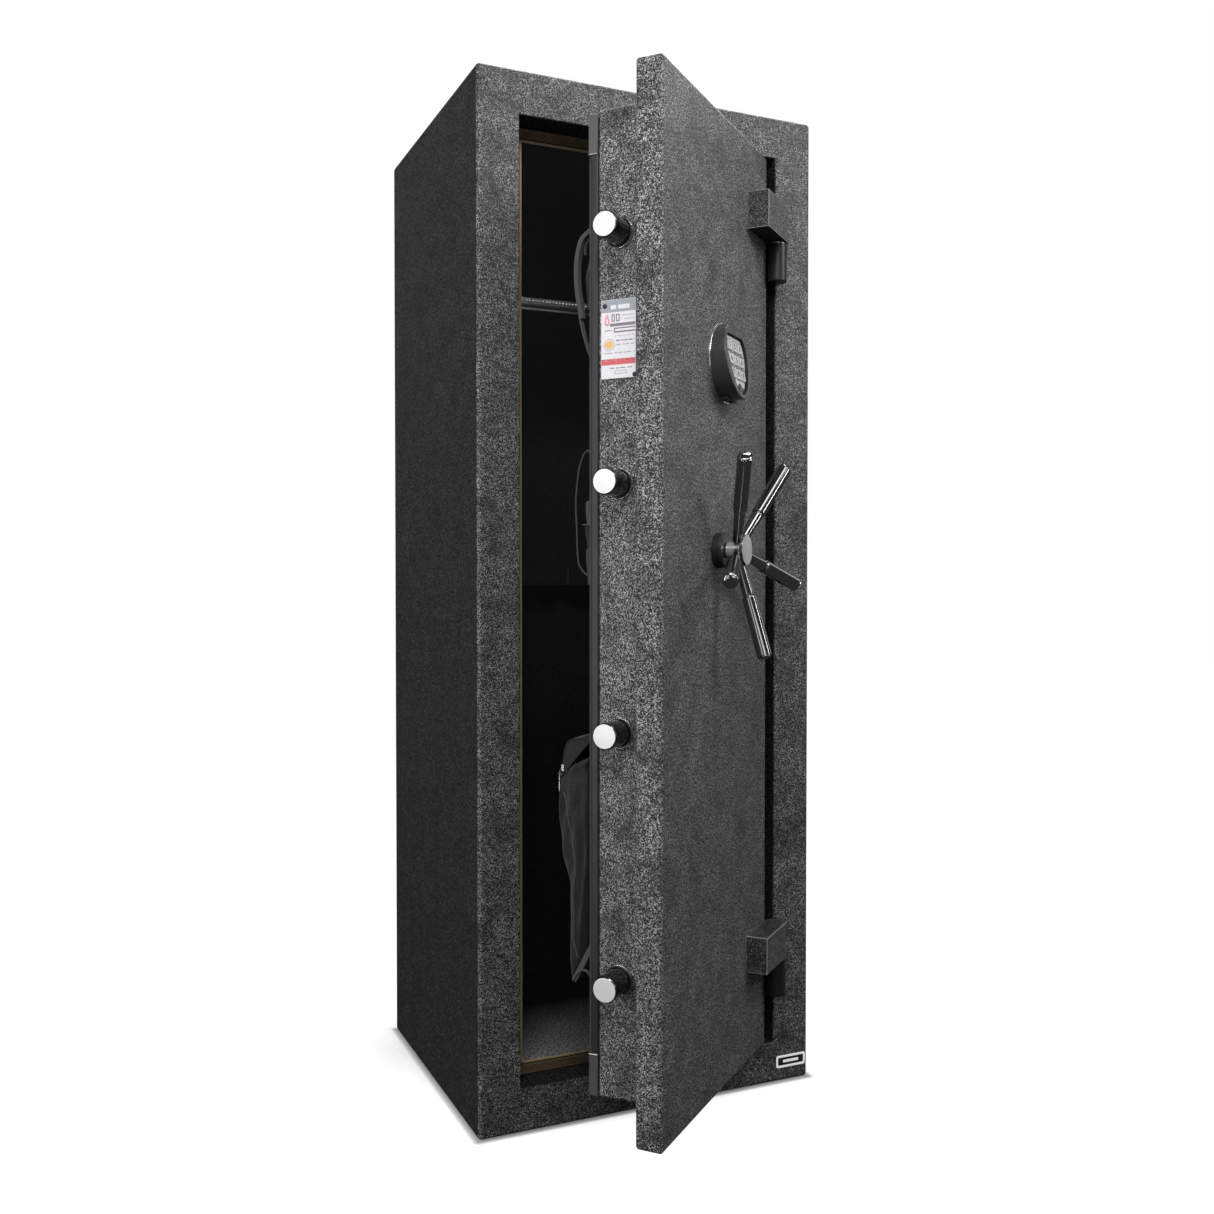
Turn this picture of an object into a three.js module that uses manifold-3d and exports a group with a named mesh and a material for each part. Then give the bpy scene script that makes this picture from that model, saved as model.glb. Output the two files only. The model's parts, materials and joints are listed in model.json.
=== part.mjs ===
// A home gun safe: fire-lined steel cabinet, inset door on outside hinges, four locking bolts
// driven by a five-spoke handle through a rack and pinion, keypad lock and a door organizer.
// Units are millimetres, +Z up. The origin is the middle of the cabinet's base, on the floor.
// The front faces -Y, the hinges are on the +X side, and the door stands part open.
import * as THREE from 'three';
import { mergeVertices } from 'three/addons/utils/BufferGeometryUtils.js';
import Module from 'manifold-3d';

const wasm = await Module();
wasm.setup();

// ---- driving dimensions -------------------------------------------------------------------
const GAP = 0.3; // air between pieces that touch on the real object
const WIDTH = 508;
const DEPTH = 432;
const HEIGHT = 1397;
const SHEET = 3; // cabinet steel
const CORNER = 6; // radius of the cabinet's upright edges
const FLANGE = 58.5; // visible width of the front frame all round
const POCKET = 45; // depth of the recess that takes the door
const LIP = 15; // inward lip at the back of the recess
const SEAL_WIDTH = 13.5;
const SEAL_BASE = 2.4;
const SEAL_RIB = 1.4;
const BOARD = 32; // fire board in the walls
const LINER = 7.7; // carpeted inner panels
const FLOOR_TOP = 77;

const OPENING_ANGLE = 40; // degrees the door stands open
const AXIS_X = 188.5; // hinge axis
const AXIS_OUT = 15.5; // hinge axis in front of the frame's face
const SLAB = { width: 380, low: 63, high: 1334, thick: 34.5, wall: 4, round: 4 };
const BOX = { near: 37.5, far: 343, low: 99.7, high: 1297.7, back: 99.8, sheet: 2.5 };
const COVER = { low: 104, high: 1293, back: 111.6, sheet: 2 };

const BOLT_RADIUS = 15.875;
const BOLT_DEPTH = 72.3; // bolt axis behind the door's outer face
const BOLT_OUT = 42; // how far a thrown bolt stands out of the box
const BOLT_ROOT = 320.3;
const BOLT_PITCH = 300;
const BOLT_MIDDLE = 697;
const COLLAR = { radius: 18.5, bore: 16.4, out: 4 };

const HANDLE = { x: -200, z: 770, first: -35.3, spokes: 5 };
const BASE = { radius: 23, length: 13.3, bore: 7.3 };
const HUB = { radius: 19.5, front: 40.4, back: 38, sleeve: 10.5, sleeveBack: 14.5, spindle: 7 };
const SPOKE = { root: 8, tip: 138, rootOut: 28, tipOut: 65, neck: 4, rod: 5.7, grip: 9.7, step: 60 };
const GEAR = { module: 2, teeth: 21, near: 64, far: 76, add: 1.5, ded: 2.3, width: 0.4 };

const PAD = { x: -184, z: 1013, rx: 46.5, rz: 49, top: 15.3, bottom: 30.3, recess: 3.6 };
const KEY = { width: 15.5, height: 14.5, pitchX: 18.5, pitchZ: 18, top: 19.5, thick: 2.4, proud: 0.9,
  clear: 0.4 };

const BLOCK = { length: 86, height: 50, thick: 31, bore: 6 };
const BLOCK_BOTTOMS = { upper: 1212, lower: 191 };
const POST = { radius: 14, height: 53, pin: 5.7, collar: 12, grip: 42 };

const SHELF = { top: 1144, thick: 17, front: 165 };
const REST = { bottom: 725, top: 752, depth: 52, notch: 14, count: 5, pitch: 78 };
const ANCHOR = { x: 175, y: 135, radius: 6.5 };

const FRONT = -DEPTH / 2;
const TAU = Math.PI * 2;
const rad = THREE.MathUtils.degToRad;

// ---- materials ----------------------------------------------------------------------------
const finish = (color, roughness, metalness) =>
  new THREE.MeshStandardMaterial({ color, roughness, metalness });
const crinkle = finish(0x3b3b3c, 0.6, 0.35);
const smoothPaint = finish(0x2d2d2e, 0.45, 0.3);
const steel = finish(0xb9babc, 0.3, 1);
const brightSteel = finish(0xe2e3e4, 0.22, 1);
const darkChrome = finish(0x2a2b2d, 0.12, 1);
const blackPlastic = finish(0x1a1a1b, 0.5, 0);
const keySilver = finish(0xb5b7b9, 0.45, 0.2);
const board = finish(0xcfc7b4, 0.95, 0);
const carpet = finish(0x26262a, 1, 0);
const sealBrown = finish(0x4a3c26, 0.9, 0);
const nylon = finish(0x1d1d20, 0.85, 0);
const label = finish(0xd9dade, 0.4, 0);

// ---- shape helpers ------------------------------------------------------------------------
// A box from its low and high corners.
function box(x0, x1, y0, y1, z0, z1) {
  const g = new THREE.BoxGeometry(x1 - x0, y1 - y0, z1 - z0);
  return g.translate((x0 + x1) / 2, (y0 + y1) / 2, (z0 + z1) / 2);
}

// A rod from start, along x, y or z for a signed length.
function rod(radius, length, along, start, sides = 32) {
  const g = new THREE.CylinderGeometry(radius, radius, Math.abs(length), sides);
  const middle = new THREE.Vector3(...start);
  if (along === 'x') g.rotateZ(Math.PI / 2);
  if (along === 'z') g.rotateX(Math.PI / 2);
  middle[along] += length / 2;
  return g.translate(middle.x, middle.y, middle.z);
}

function roundedOutline(x0, x1, y0, y1, r) {
  const s = new THREE.Shape();
  s.moveTo(x0 + r, y0);
  s.lineTo(x1 - r, y0);
  s.absarc(x1 - r, y0 + r, r, -Math.PI / 2, 0);
  s.lineTo(x1, y1 - r);
  s.absarc(x1 - r, y1 - r, r, 0, Math.PI / 2);
  s.lineTo(x0 + r, y1);
  s.absarc(x0 + r, y1 - r, r, Math.PI / 2, Math.PI);
  s.lineTo(x0, y0 + r);
  s.absarc(x0 + r, y0 + r, r, Math.PI, Math.PI * 1.5);
  return s;
}

// An outline drawn in plan, standing from z0 to z1.
function upright(shape, z0, z1, curveSegments = 4) {
  const options = { depth: z1 - z0, bevelEnabled: false, curveSegments };
  return new THREE.ExtrudeGeometry(shape, options).translate(0, 0, z0);
}

// An outline drawn in elevation (x, z), running from y0 back to y1.
function facing(shape, y0, y1, curveSegments = 4) {
  const options = { depth: y1 - y0, bevelEnabled: false, curveSegments };
  return new THREE.ExtrudeGeometry(shape, options).rotateX(Math.PI / 2).translate(0, y1, 0);
}

// ---- cutting and joining ------------------------------------------------------------------
function toSolid(geometry) {
  const bare = geometry.clone();
  bare.deleteAttribute('normal');
  bare.deleteAttribute('uv');
  const merged = mergeVertices(bare, 1e-4);
  const mesh = new wasm.Mesh({
    numProp: 3,
    vertProperties: new Float32Array(merged.attributes.position.array),
    triVerts: new Uint32Array(merged.index.array),
  });
  return new wasm.Manifold(mesh);
}

function toGeometry(solid) {
  const mesh = solid.getMesh();
  const g = new THREE.BufferGeometry();
  g.setAttribute('position', new THREE.BufferAttribute(mesh.vertProperties, 3));
  g.setIndex(new THREE.BufferAttribute(mesh.triVerts, 1));
  g.computeVertexNormals();
  return g;
}

const cut = (geometry, ...tools) =>
  toGeometry(tools.reduce((solid, tool) => solid.subtract(toSolid(tool)), toSolid(geometry)));
const join = (geometry, ...others) =>
  toGeometry(others.reduce((solid, other) => solid.add(toSolid(other)), toSolid(geometry)));

// A rectangular picture frame facing -Y; half sizes in x, edges in z.
function pictureFrame(outer, inner, y0, y1) {
  return cut(box(-outer.x, outer.x, y0, y1, outer.low, outer.high),
    box(-inner.x, inner.x, y0 - 1, y1 + 1, inner.low, inner.high));
}

const mesh = (parent, name, geometry, material) => {
  const m = new THREE.Mesh(geometry, material);
  m.name = name;
  parent.add(m);
  return m;
};

// ---- groups -------------------------------------------------------------------------------
const group = new THREE.Group();
const cabinet = new THREE.Group();
group.add(cabinet);

// The door's own frame: x = 0 on the hinge axis, x runs to minus the slab's width at the free
// edge, y = 0 is the slab's outer face and +y runs into the safe.
const doorPivot = new THREE.Group();
doorPivot.position.set(AXIS_X, FRONT - AXIS_OUT, 0);
doorPivot.rotation.z = rad(OPENING_ANGLE);
const door = new THREE.Group();
door.position.y = AXIS_OUT;
doorPivot.add(door);
group.add(doorPivot);

// ---- cabinet ------------------------------------------------------------------------------
const opening = { x: WIDTH / 2 - FLANGE, low: FLANGE, high: HEIGHT - FLANGE };
const grown = (f, d) => ({ x: f.x + d, low: f.low - d, high: f.high + d });
const anchorHoles = (z0, z1) => [-1, 1].flatMap((sx) => [-1, 1].map((sy) =>
  rod(ANCHOR.radius, z1 - z0, 'z', [sx * ANCHOR.x, sy * ANCHOR.y, z0], 16)));

function buildShell() {
  const outside = roundedOutline(-WIDTH / 2, WIDTH / 2, FRONT, -FRONT, CORNER);
  const inside = roundedOutline(-WIDTH / 2 + SHEET, WIDTH / 2 - SHEET,
    FRONT + SHEET, -FRONT - SHEET, CORNER - SHEET);
  const shell = cut(upright(outside, 0, HEIGHT), upright(inside, SHEET, HEIGHT - SHEET),
    box(-opening.x, opening.x, FRONT - 1, FRONT + SHEET + 1, opening.low, opening.high),
    ...anchorHoles(-1, SHEET + 1));
  mesh(cabinet, 'body_shell', shell, crinkle);
}

function buildJamb() {
  const y0 = FRONT + SHEET + GAP;
  const back = FRONT + POCKET + SHEET;
  const returns = pictureFrame(grown(opening, SHEET), opening, y0, back);
  const lip = pictureFrame(grown(opening, SHEET), grown(opening, -LIP), back - SHEET, back);
  mesh(cabinet, 'door_jamb', join(returns, lip), crinkle);

  const face = FRONT + POCKET - GAP;
  const edge = -(LIP - SEAL_WIDTH) / 2;
  const strips = [pictureFrame(grown(opening, edge), grown(opening, edge - SEAL_WIDTH),
    face - SEAL_BASE, face)];
  const ribs = 4;
  for (let i = 0; i < ribs; i += 1) {
    const outer = edge - 1.5 - (i * (SEAL_WIDTH - 1)) / ribs;
    strips.push(pictureFrame(grown(opening, outer), grown(opening, outer - 2),
      face - SEAL_BASE - SEAL_RIB, face - SEAL_BASE / 2));
  }
  mesh(cabinet, 'door_seal', join(...strips), sealBrown);
}

function buildLining() {
  const wallX = WIDTH / 2 - SHEET - GAP;
  const boardIn = wallX - BOARD;
  const backY = -FRONT - SHEET - GAP;
  const front = FRONT + POCKET + SHEET + GAP;
  const boardTop = HEIGHT - SHEET - GAP;
  const boardFloor = FLANGE - SHEET - GAP;
  const outside = roundedOutline(-wallX, wallX, FRONT + SHEET + GAP, backY, CORNER - SHEET);
  const tub = cut(upright(outside, SHEET + GAP, boardTop),
    box(-boardIn, boardIn, FRONT, backY - BOARD, boardFloor, boardTop - BOARD),
    ...anchorHoles(0, FLOOR_TOP));
  mesh(cabinet, 'fire_board', tub, board);

  const x = boardIn - GAP;
  const back = backY - BOARD - GAP;
  const ceiling = boardTop - BOARD - GAP;
  const low = FLOOR_TOP + GAP;
  const high = ceiling - LINER - GAP;
  const sideBack = back - LINER - GAP;
  mesh(cabinet, 'liner_left', box(-x, -x + LINER, front, sideBack, low, high), carpet);
  mesh(cabinet, 'liner_right', box(x - LINER, x, front, sideBack, low, high), carpet);
  mesh(cabinet, 'liner_back', box(-x, x, back - LINER, back, low, high), carpet);
  mesh(cabinet, 'liner_ceiling', box(-x, x, front, back, high + GAP, ceiling), carpet);
  mesh(cabinet, 'floor_panel',
    cut(box(-x, x, front, back, boardFloor + GAP, FLOOR_TOP), ...anchorHoles(0, FLOOR_TOP + 1)),
    carpet);
  return { x: x - LINER - GAP, back: back - LINER - GAP };
}

function buildFittings(room) {
  const front = FRONT + SHELF.front;
  const low = SHELF.top - SHELF.thick;
  // The edge angle's upper leg lies in a rebate, flush with the shelf's top.
  const wall = 1.6;
  const leg = 12;
  mesh(cabinet, 'shelf', cut(box(-room.x, room.x, front, room.back, low, SHELF.top),
    box(-room.x - 1, room.x + 1, front - 1, front + leg + GAP, SHELF.top - wall - GAP,
      SHELF.top + 1)), carpet);
  const trim = new THREE.Shape();
  trim.moveTo(front - GAP, low - 2);
  trim.lineTo(front - GAP, SHELF.top - wall);
  trim.lineTo(front + leg, SHELF.top - wall);
  trim.lineTo(front + leg, SHELF.top);
  trim.lineTo(front - GAP - wall, SHELF.top);
  trim.lineTo(front - GAP - wall, low - 2);
  const options = { depth: 2 * room.x, bevelEnabled: false };
  const angle = new THREE.ExtrudeGeometry(trim, options).translate(0, 0, -room.x);
  angle.applyMatrix4(new THREE.Matrix4().makeBasis(new THREE.Vector3(0, 1, 0),
    new THREE.Vector3(0, 0, 1), new THREE.Vector3(1, 0, 0)));
  mesh(cabinet, 'shelf_trim', angle, steel);

  const restFront = room.back - REST.depth;
  const notches = [];
  for (let i = 0; i < REST.count; i += 1) {
    const x = (i - (REST.count - 1) / 2) * REST.pitch;
    notches.push(rod(REST.notch, 60, 'z', [x, restFront + 6, REST.bottom - 10], 20));
  }
  mesh(cabinet, 'barrel_rest', cut(box(-room.x + 4, room.x - 4, restFront, room.back,
    REST.bottom, REST.top), ...notches), carpet);

  const plate = { x0: 199, x1: 249, z0: 20, z1: 38.5 };
  mesh(cabinet, 'badge_plate', facing(roundedOutline(plate.x0, plate.x1, plate.z0, plate.z1, 2),
    FRONT - GAP - 1.2, FRONT - GAP), blackPlastic);
}

// Frame-side half of a hinge: a round post welded to the frame, and the pin standing in it.
function buildHingePost(side, blockBottom) {
  const axisY = FRONT - AXIS_OUT;
  const washer = 1.7;
  const top = blockBottom - GAP - washer - GAP;
  const bottom = top - POST.height;
  const post = cut(join(rod(POST.radius, POST.height, 'z', [AXIS_X, axisY, bottom]),
    box(AXIS_X + 2, AXIS_X + POST.radius - 0.5, axisY - 3, FRONT - GAP, bottom, top)),
  rod(BLOCK.bore, POST.grip + 2, 'z', [AXIS_X, axisY, top - POST.grip], 24));
  mesh(cabinet, `hinge_post_${side}`, post, crinkle);
  const pinBottom = top - POST.grip + 1;
  const pinTop = blockBottom + POST.grip - 1;
  const pin = join(rod(POST.pin, pinTop - pinBottom, 'z', [AXIS_X, axisY, pinBottom], 24),
    rod(POST.collar, washer, 'z', [AXIS_X, axisY, top + GAP], 24));
  mesh(cabinet, `hinge_pin_${side}`, pin, steel);
}

// ---- door ---------------------------------------------------------------------------------
function buildSlab() {
  const pan = facing(roundedOutline(-SLAB.width, 0, SLAB.low, SLAB.high, SLAB.round),
    0, SLAB.thick);
  const inner = SLAB.wall;
  const cavity = box(-SLAB.width + inner, -inner, inner, SLAB.thick - inner,
    SLAB.low + inner, SLAB.high - inner);
  const window = box(-BOX.far + 8, -BOX.near - 8, 5, SLAB.thick + 1, BOX.low + 8, BOX.high - 8);
  const spindle = rod(BASE.bore, 60, 'y', [HANDLE.x, -10, HANDLE.z], 24);
  mesh(door, 'door_shell', cut(pan, cavity, window, spindle), crinkle);
  const fill = box(-SLAB.width + inner + GAP, -inner - GAP, inner + GAP,
    SLAB.thick - inner - GAP, SLAB.low + inner + GAP, SLAB.high - inner - GAP);
  mesh(door, 'door_fire_board', cut(fill, spindle), board);
}

function buildBoltBox(boltHeights) {
  const y0 = SLAB.thick + GAP;
  const s = BOX.sheet;
  const outer = box(-BOX.far, -BOX.near, y0, BOX.back, BOX.low, BOX.high);
  const inside = box(-BOX.far + s, -BOX.near - s, y0 - 1, BOX.back - s, BOX.low + s, BOX.high - s);
  const hatch = box(-BOX.far + 14, -BOX.near - 14, y0, BOX.back + 1, BOX.low + 14, BOX.high - 14);
  const holes = boltHeights.map((z) =>
    rod(COLLAR.bore, 20, 'x', [-BOX.far - 10, BOLT_DEPTH, z], 24));
  mesh(door, 'bolt_box', cut(outer, inside, hatch, ...holes), crinkle);

  const c = COVER.sheet;
  const cover = cut(box(-BOX.far, -BOX.near, BOX.back + GAP, COVER.back, COVER.low, COVER.high),
    box(-BOX.far + c, -BOX.near - c, BOX.back, COVER.back - c, COVER.low + c, COVER.high - c));
  mesh(door, 'door_cover', cover, smoothPaint);
  mesh(door, 'dead_bar', box(-BOX.near + GAP, -6, BOLT_DEPTH - 5, BOLT_DEPTH + 7, 250, 1150), steel);
  mesh(door, 'rating_plate', box(-BOX.far - GAP - 0.8, -BOX.far - GAP, 50, 96, 973.5, 1068), label);
}

function buildLock() {
  const y = SLAB.thick + GAP;
  mesh(door, 'hard_plate', box(-235, -133, y, y + 6, 955, 1075), steel);
  const body = join(box(-216, -152, y + 6 + GAP, y + 33, 972, 1057),
    box(-224, -214, y + 14, y + 25, 1005, 1025));
  mesh(door, 'lock_body', body, steel);
}

function buildBolts(boltHeights) {
  const bar = { x0: -BOLT_ROOT + GAP, x1: -296, y0: BOLT_DEPTH - 4, y1: BOLT_DEPTH + 4 };
  const rackLine = HANDLE.z + (GEAR.module * GEAR.teeth) / 2;
  const rackTop = rackLine + 14;
  const pitch = Math.PI * GEAR.module;
  const rack = new THREE.Shape();
  const rackStart = HANDLE.x - 64;
  const rackEnd = HANDLE.x + 40;
  rack.moveTo(bar.x1 - 2, rackLine + GEAR.ded);
  rack.lineTo(rackStart, rackLine + GEAR.ded);
  const slope = Math.tan(rad(20));
  const half = (GEAR.width * pitch) / 2;
  // The gear has a tooth gap facing the rack's middle tooth, at x = HANDLE.x.
  const first = Math.ceil((rackStart + 4 - HANDLE.x) / pitch);
  const last = Math.floor((rackEnd - 4 - HANDLE.x) / pitch);
  for (let i = first; i <= last; i += 1) {
    const x = HANDLE.x + i * pitch;
    rack.lineTo(x - half - slope * GEAR.ded, rackLine + GEAR.ded);
    rack.lineTo(x - half + slope * GEAR.add, rackLine - GEAR.add);
    rack.lineTo(x + half - slope * GEAR.add, rackLine - GEAR.add);
    rack.lineTo(x + half + slope * GEAR.ded, rackLine + GEAR.ded);
  }
  rack.lineTo(rackEnd, rackLine + GEAR.ded);
  rack.lineTo(rackEnd, rackTop);
  rack.lineTo(bar.x1 - 2, rackTop);
  const carriage = new THREE.Group();
  door.add(carriage);
  const low = boltHeights[boltHeights.length - 1] - 24;
  const high = boltHeights[0] + 24;
  mesh(carriage, 'bolt_bar', join(box(bar.x0, bar.x1, bar.y0, bar.y1, low, high),
    facing(rack, bar.y0, bar.y1)), steel);
  boltHeights.forEach((z, i) => {
    const length = BOX.far + BOLT_OUT - BOLT_ROOT;
    mesh(carriage, `locking_bolt_${i + 1}`,
      rod(BOLT_RADIUS, -length, 'x', [-BOLT_ROOT, BOLT_DEPTH, z]), brightSteel);
    const ring = cut(rod(COLLAR.radius, -COLLAR.out, 'x', [-BOX.far - GAP, BOLT_DEPTH, z]),
      rod(COLLAR.bore, -COLLAR.out - 4, 'x', [-BOX.far + 2, BOLT_DEPTH, z]));
    mesh(door, `bolt_collar_${i + 1}`, ring, blackPlastic);
  });
}

function buildHingeBlock(side, bottom) {
  const s = new THREE.Shape();
  const r = AXIS_OUT - GAP;
  s.moveTo(-BLOCK.length, -GAP);
  s.lineTo(-BLOCK.length, -BLOCK.thick);
  s.lineTo(0, -BLOCK.thick);
  s.absarc(0, -AXIS_OUT, r, -Math.PI / 2, Math.PI / 2);
  const block = cut(upright(s, bottom, bottom + BLOCK.height, 12),
    rod(BLOCK.bore, POST.grip + 2, 'z', [0, -AXIS_OUT, bottom - 2], 24));
  mesh(door, `hinge_block_${side}`, block, crinkle);
}

// ---- handle -------------------------------------------------------------------------------
function buildHandle() {
  const base = cut(rod(BASE.radius, -BASE.length + GAP, 'y', [HANDLE.x, -GAP, HANDLE.z]),
    rod(BASE.bore, -BASE.length - 6, 'y', [HANDLE.x, 3, HANDLE.z], 24));
  mesh(door, 'handle_base', base, blackPlastic);

  const handle = new THREE.Group();
  handle.position.set(HANDLE.x, 0, HANDLE.z);
  door.add(handle);
  const rise = SPOKE.tipOut - SPOKE.rootOut;
  const lean = Math.atan2(rise, SPOKE.tip - SPOKE.root);
  const length = Math.hypot(rise, SPOKE.tip - SPOKE.root);
  const dome = 3;
  const step = (SPOKE.step - SPOKE.root) / Math.cos(lean);
  // Spoke outline from its root to its domed tip, turned about its own length.
  const neck = 3.4;
  const profile = [[0, 0], [SPOKE.neck, 0], [SPOKE.neck, neck], [SPOKE.rod, neck + 2],
    [SPOKE.rod, step - 2], [SPOKE.grip, step],
    [SPOKE.grip, length - dome], [SPOKE.grip - 1, length - 1], [SPOKE.grip - dome, length],
    [0, length]].map(([r, y]) => new THREE.Vector2(r, y));
  // The spoke's length starts along +z, leans towards the user and then turns to its place.
  const place = (g, k) => g.rotateX(Math.PI / 2 + lean).translate(0, -SPOKE.rootOut, SPOKE.root)
    .rotateY(rad(HANDLE.first + (k * 360) / HANDLE.spokes));
  const hubBody = join(rod(HUB.radius, HUB.front - HUB.back, 'y', [0, -HUB.front, 0]),
    rod(HUB.sleeve, HUB.back + 1 - HUB.sleeveBack, 'y', [0, -HUB.back - 1, 0]),
    rod(HUB.spindle, GEAR.far + HUB.sleeveBack + 1, 'y', [0, -HUB.sleeveBack - 1, 0], 24));
  const sockets = [];
  for (let k = 0; k < HANDLE.spokes; k += 1) {
    const socket = SPOKE.neck + GAP;
    sockets.push(place(new THREE.CylinderGeometry(socket, socket, 30, 20)
      .translate(0, 15 - GAP, 0), k));
    mesh(handle, `handle_spoke_${k + 1}`, place(new THREE.LatheGeometry(profile, 20), k),
      darkChrome);
  }
  mesh(handle, 'handle_hub', cut(hubBody, ...sockets), darkChrome);
  mesh(handle, 'drive_pinion', buildPinion(), steel);
}

// The pinion on the spindle: straight-sided teeth, a tooth gap pointing straight up.
function buildPinion() {
  const pitchRadius = (GEAR.module * GEAR.teeth) / 2;
  const half = (GEAR.width * Math.PI * GEAR.module) / 2;
  const s = new THREE.Shape();
  for (let i = 0; i < GEAR.teeth; i += 1) {
    const middle = Math.PI / 2 + ((i + 0.5) * TAU) / GEAR.teeth;
    const corners = [[pitchRadius - GEAR.ded, -half * 1.35], [pitchRadius, -half],
      [pitchRadius + GEAR.add, -half * 0.5], [pitchRadius + GEAR.add, half * 0.5],
      [pitchRadius, half], [pitchRadius - GEAR.ded, half * 1.35]];
    corners.forEach(([r, across], j) => {
      const a = middle + across / r;
      const x = r * Math.cos(a);
      const y = r * Math.sin(a);
      if (i === 0 && j === 0) s.moveTo(x, y);
      else s.lineTo(x, y);
    });
  }
  const bore = new THREE.Path();
  bore.absarc(0, 0, HUB.spindle + GAP, 0, TAU);
  s.holes.push(bore);
  return facing(s, GEAR.near, GEAR.far, 12);
}

// ---- keypad lock --------------------------------------------------------------------------
const padTilt = Math.atan2(PAD.bottom - PAD.top, 2 * PAD.rz);
const padMiddle = (PAD.bottom + PAD.top) / 2;

// A piece drawn on the keypad's sloping face, where y = 0 is the face and -y points out of it.
const onPad = (g) => g.rotateX(-padTilt).translate(PAD.x, -padMiddle, PAD.z);

// The sunken key panel: a shield, wide at the top and round at the foot.
function shieldOutline() {
  const s = new THREE.Shape();
  s.moveTo(-36, 14);
  s.quadraticCurveTo(-34, 28, -26, 33);
  s.lineTo(26, 33);
  s.quadraticCurveTo(34, 28, 36, 14);
  s.quadraticCurveTo(36, -10, 20, -33);
  s.quadraticCurveTo(0, -53, -20, -33);
  s.quadraticCurveTo(-36, -10, -36, 14);
  return s;
}

function buildKeypad() {
  const oval = new THREE.CylinderGeometry(1, 1, PAD.bottom + 4, 40);
  oval.scale(PAD.rx, 1, PAD.rz).translate(PAD.x, -(PAD.bottom + 4) / 2 - GAP, PAD.z);
  const above = onPad(box(-80, 80, -40, 0, -80, 80));
  const recess = onPad(facing(shieldOutline(), -10, PAD.recess, 6));
  const centres = [];
  for (let row = 0; row < 3; row += 1) {
    for (let column = 0; column < 3; column += 1) {
      centres.push([(column - 1) * KEY.pitchX, KEY.top - row * KEY.pitchZ]);
    }
  }
  const floor = PAD.recess;
  const depth = KEY.thick - KEY.proud + 1.4;
  const pockets = centres.map(([x, z]) => {
    const w = KEY.width / 2 + KEY.clear;
    const h = KEY.height / 2 + KEY.clear;
    return onPad(box(x - w, x + w, floor - 1, floor + depth, z - h, z + h));
  });
  const enter = { z: -34, radius: 5.2 };
  pockets.push(onPad(rod(enter.radius + KEY.clear, depth + 1, 'y', [0, floor - 1, enter.z], 20)));
  const drawer = { x: 17, y0: -15, y1: -3.5, height: 46 };
  const bay = box(PAD.x - drawer.x - KEY.clear, PAD.x + drawer.x + KEY.clear,
    drawer.y0 - KEY.clear, drawer.y1 + KEY.clear, PAD.z - 80, PAD.z - PAD.rz + drawer.height);
  mesh(door, 'keypad_housing', cut(oval, above, recess, ...pockets, bay), blackPlastic);
  mesh(door, 'battery_drawer', box(PAD.x - drawer.x, PAD.x + drawer.x, drawer.y0, drawer.y1,
    PAD.z - PAD.rz - 2, PAD.z - PAD.rz + drawer.height - 4), blackPlastic);
  const top = floor - KEY.proud;
  centres.forEach(([x, z], i) => {
    const cap = facing(roundedOutline(x - KEY.width / 2, x + KEY.width / 2,
      z - KEY.height / 2, z + KEY.height / 2, 1.5), top, top + KEY.thick, 2);
    mesh(door, `key_${i + 1}`, onPad(cap), keySilver);
  });
  mesh(door, 'key_enter', onPad(rod(enter.radius, KEY.thick, 'y', [0, top, enter.z], 20)),
    keySilver);
}

// ---- organizer on the back of the door ----------------------------------------------------
function buildOrganizer() {
  const y = COVER.back + GAP;
  const cloth = 3;
  mesh(door, 'organizer_panel', facing(roundedOutline(-336, -44, 114, 1283, 10), y, y + cloth),
    nylon);
  const pouch = (name, x0, x1, z0, z1, out, round) => {
    const front = y + cloth + GAP;
    mesh(door, name, facing(roundedOutline(x0, x1, z0, z1, round), front, front + out), nylon);
  };
  pouch('organizer_top_pouch', -332, -66, 985, 1159, 21, 30);
  pouch('organizer_holster', -332, -230, 710, 890, 21, 14);
  pouch('organizer_bottom_pouch', -330, -64, 228, 542, 41, 26);
}

// ---- assembly -----------------------------------------------------------------------------
const boltHeights = [1.5, 0.5, -0.5, -1.5].map((n) => BOLT_MIDDLE + n * BOLT_PITCH);
buildShell();
buildJamb();
buildFittings(buildLining());
Object.entries(BLOCK_BOTTOMS).forEach(([side, bottom]) => {
  buildHingePost(side, bottom);
  buildHingeBlock(side, bottom);
});
buildSlab();
buildBoltBox(boltHeights);
buildLock();
buildBolts(boltHeights);
buildHandle();
buildKeypad();
buildOrganizer();

export default group;
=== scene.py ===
import json
import math

import bmesh
import bpy
import numpy as np
from mathutils import Matrix, Vector, noise


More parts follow.
